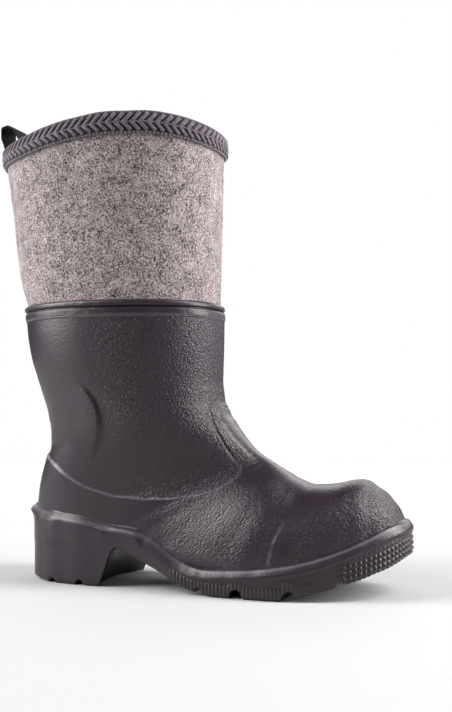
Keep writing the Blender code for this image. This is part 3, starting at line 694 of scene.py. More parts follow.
# Zones over which each patch of grain comes in or dies away
ABOVE_X, FRONT_X, FRONT_Z = (60.0, 116.0), (128.0, 150.0), (140.0, 148.0)
FLANK_START_X, FLANK_END_X, FLANK_TOP_Z = (112.0, 142.0), (200.0, 232.0), (70.0, 84.0)
TOE_DEPTH, STRIP_DEPTH = (2.0, 22.0), (1.0, 16.0)
x, y, z = points.T
above = ramp(x, *ABOVE_X) * (1.0 - panel)
flank = ramp(x, *FLANK_START_X) * (1.0 - ramp(x, *FLANK_END_X)) * panel * (1.0 - ramp(z, *FLANK_TOP_Z))
front = ramp(x, *FRONT_X) * ramp(z, *FRONT_Z)
toe = ramp(cap_depth, *TOE_DEPTH)
strip = instep * (1.0 - ramp(depth, *STRIP_DEPTH))
strongest = np.maximum.reduce([above, FLANK_GRAIN * flank, front, toe, strip])
grain_value = LEAST_GRAIN + (1.0 - LEAST_GRAIN) * strongest
print("grain runs from", grain_value.min().round(2), "to", grain_value.max().round(2))

# %% Close the upper
def tip(ring):
    """A row of points drawn together in the middle of a ring, which closes a tube's end."""
    return np.broadcast_to(ring.mean(0), ring.shape)[None]


UPPER_WALL = 3.5
OUTER_CLEARANCE, HOLLOW_CLEARANCE = 0.1, 0.8
HOLLOW_GRAIN, TIP_GRAIN, HIGHLIGHT_TONE = 0.15, 0.8, 0.5
points[:, 2] = np.maximum(z, curve(FOOTBED_ROWS, x) + OUTER_CLEARANCE)
outer = points.reshape(UPPER_RINGS, UPPER_AROUND + 1, 3)
hollow = even_last(HOLLOW_RINGS, UPPER_AROUND)
hollow = hollow - UPPER_WALL * outward(hollow)
hollow[..., 2] = np.maximum(hollow[..., 2], curve(FOOTBED_ROWS, hollow[..., 0]) + HOLLOW_CLEARANCE)
# The hollow ends before the last's tip, where its rings would cross each other
hollow = hollow[:-3]
upper = grid_piece("upper_moulding", np.concatenate([tip(hollow[-1]), hollow[::-1], outer, tip(outer[-1])]))
others = ((len(hollow) + 1) * (UPPER_AROUND + 1), UPPER_AROUND + 1)
give_value(upper, "grain", np.pad(grain_value, others, constant_values=(HOLLOW_GRAIN, TIP_GRAIN)))
# The edge value carries the painted highlights along the upper's raised lines
give_value(upper, "edge", HIGHLIGHT_TONE * np.pad(painted_highlight, others))
weld(upper)
finish_piece(upper, "upper", eva)

# %% [markdown]
# ## The sole
# The sole is moulded with the upper, but it has its own plan, its own rounded shoulder and a tread.
# Its side wall is a grid that runs once round the outline. On the forefoot the wall has a smooth
# band at the top, a small step, and then lugs with upright ribs; round the toe the lugs turn into a
# knurl of square knobs. The heel has a sloping shoulder and a spur for pushing the boot off.

# %% Sole tables
SOLE_LENGTH = TOE_X - HEEL_X
OUTLINE_ROWS = (
    (1.0, 0.0, 0.0), (20.0, 34.0, 33.5), (45.0, 42.0, 41.0), (75.0, 44.0, 42.0), (105.0, 45.0, 41.0),
    (130.0, 48.0, 43.0), (155.0, 52.2, 47.5), (180.0, 54.8, 52.0), (200.0, 55.4, 54.8), (220.0, 54.6, 56.5),
    (240.0, 50.6, 56.0), (260.0, 43.2, 53.0), (278.0, 32.4, 46.5), (292.0, 18.0, 36.0), (302.0, -8.0, 8.0),
)
LEDGE_ROWS = (
    (-8.0, 58.0), (20.0, 54.4), (40.0, 52.0), (53.0, 50.6), (66.0, 48.2), (79.0, 45.4), (90.0, 43.6),
    (101.0, 42.4), (113.0, 39.4), (122.0, 35.0), (130.0, 29.8), (139.0, 24.4), (147.0, 20.8),
    (156.0, 18.6), (165.0, 17.9), (176.0, 18.4), (191.0, 19.4), (206.0, 21.0), (220.0, 23.3),
    (234.0, 26.2), (247.0, 29.8), (260.0, 34.4), (272.0, 39.4), (284.0, 45.0), (294.0, 49.8), (303.0, 52.4),
)
UNDERSIDE_ROWS = (
    (-8.0, 4.0), (2.0, 3.0), (20.0, 1.2), (36.0, 0.0), (56.0, 0.0), (80.0, 0.0), (140.0, 0.0),
    (172.0, 0.0), (214.0, 0.0), (228.0, 2.2), (242.0, 5.6), (260.0, 11.4), (280.0, 18.4),
    (298.0, 28.0), (304.0, 32.5),
)
BREAST_ROWS = ((74.0, -6.0), (76.5, 0.0), (86.0, 25.0), (89.5, 29.0))
SHANK_ROWS = (
    (98.0, 26.6), (109.0, 20.8), (122.0, 15.8), (135.0, 9.6), (150.0, 3.0), (170.0, 0.0), (176.0, -6.0),
)
BREAST_HOLLOW = 11.0
BREAST_HALF_WIDTH = 44.0
GROOVE_ROWS = (
    (33.5, 3.0, 3.0), (58.5, 3.4, 3.4), (159.0, 5.0, 4.0),
    (187.5, 5.6, 4.6), (225.0, 5.0, 4.2), (259.0, 2.6, 2.6),
)
# Shoulder of the wall: depth under the ledge against how far it stands in from the outline
FORE_SHOULDER = (
    (-0.9, 6.0), (-0.6, 3.6), (-0.2, 3.0), (1.2, 2.0), (2.8, 0.95), (3.9, 0.35), (4.8, 0.08), (5.7, 0.0),
    (6.4, 0.15), (7.0, 0.6), (8.0, 1.15), (60.0, 1.25),
)
HEEL_SHOULDER = (
    (-0.9, 6.0), (-0.6, 3.6), (0.4, 2.7), (1.4, 1.8), (2.4, 0.9), (3.1, 0.4), (4.2, 0.1), (6.0, 0.0),
    (12.0, 0.2), (60.0, 0.7),
)
SOFT_SHOULDER = (
    (-0.9, 6.0), (-0.6, 5.0), (0.4, 4.0), (2.0, 2.8), (4.0, 1.7), (6.0, 0.9), (9.0, 0.35),
    (12.0, 0.2), (60.0, 0.7),
)
THIN_SHOULDER = (
    (-0.9, 6.0), (-0.6, 2.6), (0.4, 1.4), (1.4, 0.8), (2.4, 0.5), (4.2, 0.3), (6.0, 0.2),
    (12.0, 0.2), (60.0, 0.7),
)
SPUR_ROWS = (
    (-4.5, 0.0), (-2.2, 0.15), (-0.9, 0.7), (0.0, 0.85), (1.4, 1.0), (4.0, 1.0), (6.0, 0.62), (8.5, 0.2),
    (12.0, 0.0), (60.0, 0.0),
)
print(len(GROOVE_ROWS), "grooves across the tread")

# %% Outline and underside
SOLE_STATIONS = 560


def sole_halves(count):
    """x, lateral y and medial y of the outline at stations evenly spaced along its lateral edge."""
    table = np.array(OUTLINE_ROWS)
    spread = np.arccos(1 - 2 * (table[:, 0] - HEEL_X) / SOLE_LENGTH)

    def halves_at(turn):
        lateral, medial = (curve(np.stack([spread, table[:, k]], 1), turn) for k in (1, 2))
        return HEEL_X + SOLE_LENGTH * (1 - np.cos(turn)) / 2, -lateral, medial

    fine = np.linspace(0, np.pi, 6000)
    run = run_of(np.stack(halves_at(fine)[:2], 1))
    return halves_at(np.interp(np.linspace(0, run[-1], count), run, fine))


def arch_height(x, y):
    """Height of the space under the shank, with the heel breast hollowed in plan."""
    hollow = BREAST_HOLLOW * np.clip(1 - (y / BREAST_HALF_WIDTH) ** 2, 0.0, None)
    breast_x, breast_z = np.array(BREAST_ROWS).T
    shank_x, shank_z = np.array(SHANK_ROWS).T
    brow = breast_x[-1] - hollow
    link = breast_z[-1] + (shank_z[0] - breast_z[-1]) * np.clip((x - brow) / (shank_x[0] - brow), 0.0, 1.0)
    height = np.where(x <= brow, np.interp(x + hollow, breast_x, breast_z), link)
    return np.where(x > shank_x[0], np.interp(x, shank_x, shank_z), height)


def underside(x, y):
    """Height of the tread above the floor: toe spring, arch and grooves."""
    floor = curve(UNDERSIDE_ROWS, x)
    height = np.maximum(floor, arch_height(x, y))
    for groove_x, roof, radius in GROOVE_ROWS:
        off = np.abs(x - groove_x)
        round_roof = np.sqrt(np.clip(radius ** 2 - off ** 2, 0.0, None))
        height = np.maximum(height, np.where(off < radius, floor + roof - radius + round_roof, 0.0))
    return height


sole_x, sole_lateral, sole_medial = sole_halves(SOLE_STATIONS + 1)
print("outline", (sole_medial - sole_lateral).max().round(1), "mm wide at the ball")

# %% Side wall of the sole
def upper_inset(plan, normal, heights):
    """How far in from the outline the upper stands at those heights, found by rays from outside."""
    found = []
    reach = 20.0
    for (x, y), (along, across), z in zip(plan, normal, heights):
        start = Vector((x + along * reach + SHIFT, y + across * reach, z)) * MM
        hit, place, _, _ = upper.ray_cast(start, Vector((-along, -across, 0.0)))
        found.append((place - start).length / MM - reach if hit else 6.0)
    return np.clip(found, 1.0, 9.0)


plan = np.concatenate([
    np.stack([sole_x, sole_lateral], 1), np.stack([sole_x, sole_medial], 1)[-2:0:-1],
])
plan_x = plan[:, 0]
tangent = np.roll(plan, -2, 0) - np.roll(plan, 2, 0)
plan_normal = np.stack([tangent[:, 1], -tangent[:, 0]], 1)
plan_normal /= np.linalg.norm(plan_normal, axis=1, keepdims=True)
WALL_LOW_INSET = 2.6
low_z = underside(*(plan - WALL_LOW_INSET * plan_normal).T)
top_z = curve(LEDGE_ROWS, plan_x)
tall = top_z - low_z
SHOULDER_DEPTHS = (
    -0.9, -0.75, -0.6, -0.4, -0.2, 0.1, 0.4, 0.8, 1.2, 1.7, 2.2, 2.8, 3.4, 3.9, 4.4, 4.8, 5.1, 5.4, 5.7,
    6.0, 6.4, 7.0, 8.0,
)
LUG_ROWS = 26
lug_shares = np.linspace(0, 1, LUG_ROWS + 1)[1:, None]
lug_depths = SHOULDER_DEPTHS[-1] + lug_shares * (tall - 1.2 - SHOULDER_DEPTHS[-1])
edge_depths = np.stack([tall - 0.75, tall - 0.35, tall])
shoulder_depths = np.repeat(np.array(SHOULDER_DEPTHS)[:, None], len(plan), 1)
depths = np.concatenate([shoulder_depths, lug_depths, edge_depths])
print("wall", depths.shape[0], "rows by", depths.shape[1], "points")

# %% Shoulder of the sole
# Where along the foot each shoulder comes in, and where the thin one ends
FORE_X, SOFT_HEEL_X, SOFT_SHANK_X = (136.0, 158.0), (22.0, 38.0), (104.0, 113.0)
THIN_START_X, THIN_END_X = (78.0, 92.0), (101.0, 112.0)
fore = ramp(plan_x, *FORE_X)
soft = np.maximum(1 - ramp(plan_x, *SOFT_HEEL_X), ramp(plan_x, *SOFT_SHANK_X))
thin = ramp(plan_x, *THIN_START_X) * (1 - ramp(plan_x, *THIN_END_X))
inset = np.interp(depths, *np.array(HEEL_SHOULDER).T)
for share, rows in ((soft, SOFT_SHOULDER), (thin, THIN_SHOULDER), (fore, FORE_SHOULDER)):
    inset = inset + share * (np.interp(depths, *np.array(rows).T) - inset)
HEEL_TAPER, TAPER_Z, TAPER_END_X = 0.35, (27.0, 33.0), (92.0, 104.0)
inset = inset + HEEL_TAPER * (1 - ramp(top_z - depths, *TAPER_Z)) * (1 - ramp(plan_x, *TAPER_END_X))
# A fillet leads from the shoulder up to the upper, higher at the heel than at the forefoot
FILLET_ROWS = 6
HEEL_FILLET, FORE_FILLET = 3.2, 0.8
against = upper_inset(plan, plan_normal, top_z + 2.4)
climb = np.linspace(1.0, 0.0, FILLET_ROWS + 1)[:-1, None]
fillet_depths = depths[0] - (HEEL_FILLET + (FORE_FILLET - HEEL_FILLET) * fore) * climb ** 1.6
fillet_inset = inset[2] + (against + 0.5 - inset[2]) * np.sqrt(climb)
depths = np.concatenate([fillet_depths, depths[2:]])
inset = np.concatenate([fillet_inset, inset[2:]])
chamfer = np.array([0.25, 0.6, 1.0])[:, None]
inset[-3:] = inset[-3:] + chamfer * (WALL_LOW_INSET - inset[-3:])
SPUR_REACH, SPUR_HALF_WIDTH, SPUR_LENGTH = 6.4, 22.0, 40.0
spur = SPUR_REACH * np.interp(depths, *np.array(SPUR_ROWS).T)
spur = spur * np.exp(-((plan[:, 1] / SPUR_HALF_WIDTH) ** 4)) * (plan_x < SPUR_LENGTH)
print("shoulder stands in by up to", inset.max().round(1), "mm")

# %% Ribs and knurl
def saw(run, pitch):
    """1 at every pitch along a run, and 0 halfway between."""
    return np.abs(2 * ((run / pitch) % 1.0) - 1.0)


RIB_PITCH, RIB_HEIGHT = 2.9, 0.6
KNOB_PITCH, KNOB_HEIGHT = 3.9, 1.0
NOTCH_HEIGHT = 0.8
LUGS_START_X, LUGS_END_X, KNOBS_START_X = (133.0, 140.0), (240.0, 246.0), (257.0, 262.0)
# Depths under the ledge and heights over the floor where ribs and knobs come in and die away
LUG_DEPTH, LUG_FOOT, LUG_ROOF = (6.8, 8.6), (0.2, 1.4), (7.0, 10.0)
KNOB_DEPTH, KNOB_ROOF, KNOB_FADE = (6.6, 7.6), (11.0, 15.0), 0.75
# Values of the saw between which a rib's or a knob's side rises, and the notch beside it ends
RIB_SIDE, RIB_GAP = (0.25, 0.65), (0.1, 0.5)
KNOB_SIDE, KNOB_GAP = (0.28, 0.62), (0.2, 0.55)
plan_run = run_of(plan)
above_floor = tall - depths
fore_lugs = ramp(plan_x, *LUGS_START_X) * (1 - ramp(plan_x, *LUGS_END_X))
rib = saw(plan_run, RIB_PITCH)
lug_zone = ramp(depths, *LUG_DEPTH) * ramp(above_floor, *LUG_FOOT) * (1 - ramp(above_floor, *LUG_ROOF))
rib_out = RIB_HEIGHT * lug_zone * fore_lugs * ramp(rib, *RIB_SIDE)
toe_zone = ramp(plan_x, *KNOBS_START_X) * ramp(depths, *KNOB_DEPTH)
toe_zone = toe_zone * (1 - KNOB_FADE * ramp(above_floor, *KNOB_ROOF))
across = saw(plan_run, KNOB_PITCH)
knob_out = KNOB_HEIGHT * toe_zone * ramp(across, *KNOB_SIDE) * ramp(saw(above_floor, KNOB_PITCH), *KNOB_SIDE)
wall_plan = plan + (spur - inset + rib_out + knob_out)[..., None] * plan_normal
wall = np.concatenate([wall_plan, (top_z - depths)[..., None]], 2)
rib_notch = fore_lugs * (1 - ramp(rib, *RIB_GAP))
knob_notch = toe_zone[-1] * (1 - ramp(across, *KNOB_GAP))
wall[-1, :, 2] += NOTCH_HEIGHT * np.maximum(rib_notch, knob_notch)
wall = np.concatenate([wall, wall[:, :1]], 1)
print("ribs every", RIB_PITCH, "mm, knobs every", KNOB_PITCH, "mm")

# %% Tread and footbed
def across_sole(ring, columns, height):
    """A sheet from the lateral to the medial half of a ring of the wall, at a height of its own."""
    lateral_edge = ring[:SOLE_STATIONS + 1]
    medial_edge = np.concatenate([ring[:1], ring[:SOLE_STATIONS - 1:-1]])[: SOLE_STATIONS + 1]
    share = (1 - np.cos(np.linspace(0, np.pi, columns))) / 2
    sheet = lateral_edge[:, None] + share[None, :, None] * (medial_edge - lateral_edge)[:, None]
    sheet[:, 1:-1, 2] = height(sheet[:, 1:-1, 0], sheet[:, 1:-1, 1])
    sheet[0] = ring[0]
    sheet[-1] = ring[SOLE_STATIONS]
    return sheet


TREAD_COLUMNS, BED_COLUMNS = 40, 14
HEEL_GRAIN, FORE_GRAIN = 0.12, 0.22
# Depth and width of the painted highlight line on the shoulder, and how light it is
FORE_HIGHLIGHT_LINE, FORE_HIGHLIGHT = (0.9, 0.8), 0.35
HEEL_HIGHLIGHT_LINE, HEEL_HIGHLIGHT = (1.2, 1.6), 0.2
sole_pieces = [
    grid_piece("outsole_moulding", wall),
    grid_piece("tread", across_sole(wall[-1, :-1], TREAD_COLUMNS, underside)),
    grid_piece("bed", across_sole(wall[0, :-1], BED_COLUMNS, lambda x, y: curve(FOOTBED_ROWS, x))),
]
wall_grain = np.zeros(wall.shape[:2])
wall_grain[:, :-1] = HEEL_GRAIN + (FORE_GRAIN - HEEL_GRAIN) * fore
wall_highlight = np.zeros(wall.shape[:2])
fore_highlight = FORE_HIGHLIGHT * bell(depths, *FORE_HIGHLIGHT_LINE)
heel_highlight = HEEL_HIGHLIGHT * bell(depths, *HEEL_HIGHLIGHT_LINE)
wall_highlight[:, :-1] = fore * fore_highlight + (1 - fore) * heel_highlight
give_value(sole_pieces[0], "grain", wall_grain.ravel())
# The edge value is a painted highlight along the shoulder
give_value(sole_pieces[0], "edge", wall_highlight.ravel())
outsole = weld(join(sole_pieces))
finish_piece(outsole, "outsole", eva)

# %% [markdown]
# ## The insole
# A loose felt insole lies on the footbed. It is cut a little smaller than the sole and shows only
# from above, so a plain slab with a rounded edge is enough.

# %% Insole
INSOLE_STATIONS, INSOLE_COLUMNS = 120, 34
INSOLE_BACK, INSOLE_FRONT = 12.5, 281.0
INSOLE_SHARE, INSOLE_LIFT, INSOLE_THICKNESS = 0.8, 0.9, 2.4
inner_x, inner_lateral, inner_medial = (half[:, None] for half in sole_halves(INSOLE_STATIONS + 1))
inner_x = INSOLE_BACK + (inner_x - HEEL_X) * (INSOLE_FRONT - INSOLE_BACK) / SOLE_LENGTH
spread = power(np.linspace(-1, 1, INSOLE_COLUMNS), 0.8)
flat_y = (inner_medial + inner_lateral) / 2 + (inner_medial - inner_lateral) / 2 * INSOLE_SHARE * spread
under_z = curve(FOOTBED_ROWS, inner_x) + INSOLE_LIFT
top_of_it = under_z + INSOLE_THICKNESS * (1 - np.abs(spread) ** 8)
top, under = (np.stack(np.broadcast_arrays(inner_x, flat_y, level), 2) for level in (top_of_it, under_z))
insole = grid_piece("insole_felt", np.concatenate([top, under[:, ::-1], top[:, :1]], 1))
weld(insole)
finish_piece(insole, "insole", needled)

# %% [markdown]
# ## Rings round the shaft
# Joint band, felt and collar all follow the shaft, an oval that widens upwards. One function gives
# any point on it from a turn, a height and a distance out from the felt; it also carries the rim's
# gentle wave, because the collar stands lower at the back than at the side.

# %% Shaft function
SHAFT_ROWS = (
    (203.0, 154.4, -3.4, 59.0), (214.0, 153.4, -4.4, 59.2), (228.0, 153.5, -8.6, 61.0),
    (250.0, 153.9, -12.8, 62.6), (285.0, 154.6, -17.0, 64.6), (320.0, 155.2, -21.6, 67.2),
    (346.0, 155.4, -24.6, 69.0),
)
SHAFT_POWER = 2.15
UPPER_TOP_Z, BAND_TOP_Z, COLLAR_Z = 203.0, 214.0, 346.0
RIM_ROWS = (
    (-30.0, -9.0), (15.0, -8.0), (40.0, -4.0), (68.0, 0.0), (105.0, 2.6), (135.0, 2.0), (160.0, -3.0),
)


def shaft_point(turn, z, out):
    """Points round the shaft, out from the felt's face."""
    table = np.array(SHAFT_ROWS)
    turn, z, out = np.broadcast_arrays(turn, z, out)
    front, back, half = (curve(table[:, [0, k]], z) for k in (1, 2, 3))
    x = (front + back) / 2 + ((front - back) / 2 + out) * power(np.cos(turn), 2 / SHAFT_POWER)
    y = (half + out) * power(np.sin(turn), 2 / SHAFT_POWER)
    lift = np.clip((z - BAND_TOP_Z) / (COLLAR_Z - BAND_TOP_Z), 0.0, 1.0) ** 2 * curve(RIM_ROWS, x)
    return np.stack([x, y, z + lift], -1)


def even_turns(count, z):
    """Turns whose points lie evenly round the shaft at one height; the last closes the ring."""
    run = run_of(shaft_point(FINE_TURNS, z, 0.0))
    return np.interp(np.linspace(0, run[-1], count + 1), run, FINE_TURNS)


def round_shaft(turns, z, out):
    """Rows of points round the shaft, a row for each height with its distance out."""
    return shaft_point(turns[None, :], z[:, None], out if out.ndim == 2 else out[:, None])


print("collar is", round(run_of(shaft_point(FINE_TURNS, COLLAR_Z, 0.0))[-1]), "mm round")

# %% [markdown]
# ## Joint band
# The foam is moulded onto the felt in a flat band with a round bead above it, and a dark slot
# between the two. Seen in section it is a short profile, so a grid with that profile down and the ring
# across is all it takes.

# %% Joint band
def waves(points, size_mm, seed):
    """Soft unevenness from -1 to 1 with features of about that size, the same on every run."""
    chance = np.random.default_rng(seed)
    total = np.zeros(points.shape[:-1])
    for _ in range(14):
        aim = chance.normal(size=3)
        aim *= chance.uniform(0.6, 1.5) / np.linalg.norm(aim)
        total += np.sin(points @ aim * 2 * np.pi / size_mm + chance.uniform(0, 2 * np.pi))
    return total / 14 ** 0.5 / 1.5


BAND_PROFILE = (
    (0.3, 203.0), (2.0, 203.0), (2.5, 203.1), (2.65, 203.5), (2.7, 204.5), (2.75, 206.0), (2.7, 207.2),
    (2.4, 207.9), (1.4, 208.2), (0.7, 208.5), (0.7, 209.1), (1.4, 209.4), (2.5, 209.6), (3.0, 210.2),
    (3.05, 211.2), (2.8, 212.4), (2.0, 213.4), (1.0, 213.9), (0.3, 214.0),
)
BAND_AROUND, BAND_STEPS = 260, 61
BAND_WAVE_MM, BAND_WAVE_HEIGHT, BAND_FACE = 9.0, 0.12, (1.0, 2.6)
# Grain of the band, and the height, width and lightness of the painted highlight along its lower edge
BAND_GRAIN, BAND_HIGHLIGHT_LINE, BAND_HIGHLIGHT = 0.35, (203.2, 0.4), 0.3
band_turns = even_turns(BAND_AROUND, UPPER_TOP_Z)
band_out, band_z = rounded(BAND_PROFILE, BAND_STEPS).T
band_out = np.append(band_out, band_out[0])
band_z = np.append(band_z, band_z[0])
even_band = round_shaft(band_turns, band_z, band_out)
uneven = waves(even_band, BAND_WAVE_MM, 3) * BAND_WAVE_HEIGHT * ramp(band_out, *BAND_FACE)[:, None]
joint_band = grid_piece("joint_band_moulding", round_shaft(band_turns, band_z, band_out[:, None] + uneven))
give_value(joint_band, "grain", BAND_GRAIN)
give_value(joint_band, "edge", np.repeat(BAND_HIGHLIGHT * bell(band_z, *BAND_HIGHLIGHT_LINE), len(band_turns)))
weld(joint_band)
finish_piece(joint_band, "joint_band", eva)

# %% [markdown]
# ## Felt shaft
# Felt has no stiff edge: the tube swells and dips by a few tenths of a millimetre, and a pair of
# soft creases runs across its front near the top, where it folds when the boot is pulled on.

# %% Felt shaft
FELT_WALL = 4.5
FELT_FOOT_Z = UPPER_TOP_Z + 0.3
# Creases: height at the front, and depth
CREASES = ((318.0, 0.55), (309.0, 0.35))
CREASE_WIDTH, CREASE_TILT, CREASE_X, CREASE_START_X = 2.2, 0.05, 120.0, (70.0, 130.0)
# Swells: height, size and seed; they die away under the band and under the collar
SWELLS = ((0.22, 16.0, 5), (0.12, 5.0, 8))
FREE_LOW_Z, FREE_HIGH_Z = (214.0, 220.0), (334.0, 342.0)
FELT_AROUND, FELT_MIDDLE_Z, FELT_ROWS, LINING_ROWS = 300, 280.0, 118, 30
felt_turns = even_turns(FELT_AROUND, FELT_MIDDLE_Z)
outer_z = np.linspace(FELT_FOOT_Z, COLLAR_Z, FELT_ROWS)
inner_z = np.linspace(COLLAR_Z, FELT_FOOT_Z, LINING_ROWS)
felt_z = np.concatenate([outer_z, inner_z, outer_z[:1]])
felt_out = np.concatenate([np.zeros(len(outer_z)), np.full(len(inner_z), -FELT_WALL), [0.0]])
felt_points = round_shaft(felt_turns, felt_z, felt_out)
free = ramp(felt_z, *FREE_LOW_Z) * (1 - ramp(felt_z, *FREE_HIGH_Z))
swell = sum(tall * waves(felt_points, size, seed) for tall, size, seed in SWELLS) * free[:, None]
felt_x = felt_points[..., 0]
for crease_z, crease_depth in CREASES:
    dip = bell(felt_points[..., 2], crease_z + CREASE_TILT * (felt_x - CREASE_X), CREASE_WIDTH)
    swell = swell - crease_depth * dip * ramp(felt_x, *CREASE_START_X)
felt_shaft = grid_piece("felt_tube", round_shaft(felt_turns, felt_z, felt_out[:, None] + swell))
weld(felt_shaft)
finish_piece(felt_shaft, "felt_shaft", felt)

# %% [markdown]
# ## Collar braid
# The collar is bound with a plaited tape folded over the felt's edge. It is made as on the braiding
# machine: flat. Two plaits form one arrow on each face, with two stitches at the tape's edge; an Array
# modifier repeats it along the tape; then the whole tape is folded over the edge by sending each point
# to its turn and its place on the fold. A soft core under the plaits fills the gaps between them; it is
# coloured dark there as painted shade.

# %% Fold of the collar
FOLD_HALF = (
    (0.4, -12.2), (1.3, -12.7), (2.0, -12.0), (2.3, -10.4), (2.45, -8.0), (2.5, -5.0), (2.5, -2.4),
    (2.4, -0.4), (2.0, 1.3), (1.15, 2.7), (-0.4, 3.5), (-2.25, 3.7),
)
fold_in = [(-FELT_WALL - out, rise) for out, rise in FOLD_HALF[-2::-1]]
fold_line = rounded(list(FOLD_HALF) + fold_in, 121)
fold_run = run_of(fold_line)
fold_along = np.gradient(fold_line, axis=0)
fold_normal = np.stack([fold_along[:, 1], -fold_along[:, 0]], 1)
fold_normal /= np.linalg.norm(fold_normal, axis=1, keepdims=True)
FINE_RUN = run_of(shaft_point(FINE_TURNS, COLLAR_Z, 1.0))


def on_collar(along, over, proud):
    """A point of the flat tape, folded over the collar: along it, over it from its edge, and proud of it."""
    turn = np.interp(along % FINE_RUN[-1], FINE_RUN, FINE_TURNS)
    out, rise = (np.interp(over, fold_run, fold_line[:, k]) for k in (0, 1))
    out = out + proud * np.interp(over, fold_run, fold_normal[:, 0])
    rise = rise + proud * np.interp(over, fold_run, fold_normal[:, 1])
    return shaft_point(turn, COLLAR_Z + rise, out)


VERTEX_OVER = 9.6
RIDGE_HEIGHT = 0.95
RIDGE_TONE, SELVEDGE_TONE = 0.9, 0.6
core_along = np.linspace(0, FINE_RUN[-1], 421)
core_over = np.append(np.linspace(0, fold_run[-1], 110), 0.0)
from_crest = np.abs(core_over - fold_run[-1] / 2)
from_edge = fold_run[-1] / 2 - from_crest
spine = bell(from_edge, VERTEX_OVER, 0.75)
crest = 1.0 - ramp(from_crest, 2.6, 4.6)
ridges = RIDGE_HEIGHT * (spine + crest)
collar_core = grid_piece("collar_braid", on_collar(core_along[None, :], core_over[:, None], ridges[:, None]))
selvedge = SELVEDGE_TONE * (1.0 - ramp(from_edge, 3.2, 4.0))
# The core's colour: painted shade in the gaps, light on the crest and spine, mid at the selvedge
core_shade_and_selvedge = np.maximum(selvedge, RIDGE_TONE * np.maximum(crest, ramp(spine, 0.3, 0.7)))
give_value(collar_core, "plait", np.repeat(core_shade_and_selvedge, len(core_along)))
weld(collar_core)
print("fold is", round(fold_run[-1], 1), "mm from edge to edge")

# %% One arrow of the braid
ARROW_COUNT = 86
ARROW_PITCH = FINE_RUN[-1] / ARROW_COUNT
PLAIT_WIDTH, PLAIT_HEIGHT, PLAIT_BEVEL = 2.6, 1.5, 0.62
STITCH_SIZE, STITCH_OVER = (1.0, 0.7, 0.5), 2.4
# Each plait: where it starts and ends over the fold; every one leans forward by as much as it climbs
PLAITS = ((VERTEX_OVER, 4.4), (VERTEX_OVER, 15.8))


def flat_box(size, place, lean=0.0, bevel=0.0):
    """A small box for the flat tape, turned along it and put in its place."""
    bpy.ops.mesh.primitive_cube_add(size=1.0)
    box = bpy.context.object
    bpy.ops.object.mode_set(mode="EDIT")
    bpy.ops.transform.resize(value=size)
    if bevel:
        bpy.ops.mesh.bevel(offset=bevel, segments=2, affect="EDGES")
    bpy.ops.object.mode_set(mode="OBJECT")
    box.data.transform(Matrix.Translation(Vector(place)) @ Matrix.Rotation(lean, 4, "Z"))
    return box


def plait_bar(start, end):
    """One plait as a rounded bar lying flat, leaning along the tape."""
    climb = end - start
    length = math.hypot(climb, climb) + PLAIT_WIDTH * 0.5
    middle = (abs(climb) / 2, (start + end) / 2, PLAIT_HEIGHT * 0.22)
    lean = math.atan2(climb, abs(climb))
    return flat_box((length, PLAIT_WIDTH, PLAIT_HEIGHT), middle, lean, PLAIT_BEVEL)


def mirrored(plaits):
    """The same plaits on the fold's inner face."""
    return tuple((fold_run[-1] - start, fold_run[-1] - end) for start, end in plaits)


def stitch(along):
    """One stitch of the seam along the tape's outer edge."""
    thread = flat_box(STITCH_SIZE, (along, STITCH_OVER, 0.15))
    give_value(thread, "stitch", 1.0)
    return thread


stitches = [stitch(ARROW_PITCH * (k + 0.5) / 2) for k in range(2)]
arrow = join([plait_bar(start, end) for start, end in PLAITS + mirrored(PLAITS)] + stitches)
arrow.name = "arrow"
repeat = arrow.modifiers.new("along the tape", "ARRAY")
repeat.count = ARROW_COUNT
repeat.use_relative_offset = False
repeat.use_constant_offset = True
repeat.constant_offset_displace = (ARROW_PITCH, 0.0, 0.0)
bpy.ops.object.modifier_apply(modifier=repeat.name)
print(ARROW_COUNT, "arrows,", len(arrow.data.polygons), "faces")

# %% Fold the braid over the collar
def fold_over(piece):
    """Sends a flat tape's vertices to the collar."""
    flat = np.empty(len(piece.data.vertices) * 3)
    piece.data.vertices.foreach_get("co", flat)
    flat = flat.reshape(-1, 3)
    place = (on_collar(flat[:, 0], flat[:, 1], flat[:, 2]) + (SHIFT, 0.0, 0.0)) * MM
    piece.data.vertices.foreach_set("co", place.astype(np.float32).ravel())
    piece.data.update()


fold_over(arrow)
give_value(arrow, "plait", 1.0)
weld(arrow, within_mm=0.0005)
collar = join([collar_core, arrow])
finish_piece(collar, "collar_binding", braid)

# %% [markdown]
# ## Pull loop
# A strip of webbing is sewn to both faces of the collar's back and bows up between them. It is a flat
# strap, so its section, a thin rectangle with rounded edges, is carried along the loop's middle line.

# %% Pull loop
STRAP_ROUTE = (
    (-28.6, 334.0), (-29.2, 342.0), (-32.2, 353.0), (-34.6, 361.0), (-32.6, 368.2), (-26.4, 367.8),
    (-20.4, 360.6), (-16.6, 351.0), (-15.0, 342.0), (-14.8, 334.0),
)
STRAP_WIDTH = 22.0
STRAP_THICKNESS = 1.6
route = rounded(STRAP_ROUTE, 90)
route_along = np.gradient(route, axis=0)
route_side = np.stack([-route_along[:, 1], route_along[:, 0]], 1)
route_side /= np.linalg.norm(route_side, axis=1, keepdims=True)
section_turn = np.linspace(0, 2 * np.pi, 41)
section_y = STRAP_WIDTH / 2 * power(np.cos(section_turn), 0.16)
section_out = STRAP_THICKNESS / 2 * power(np.sin(section_turn), 0.5)
strap_xz = route[:, None] + route_side[:, None] * section_out[None, :, None]
strap = np.stack([strap_xz[..., 0], np.broadcast_to(section_y, strap_xz.shape[:2]), strap_xz[..., 1]], 2)
pull_loop = grid_piece("pull_loop_webbing", np.concatenate([tip(strap[0]), strap, tip(strap[-1])]))
weld(pull_loop)
finish_piece(pull_loop, "pull_loop", webbing)

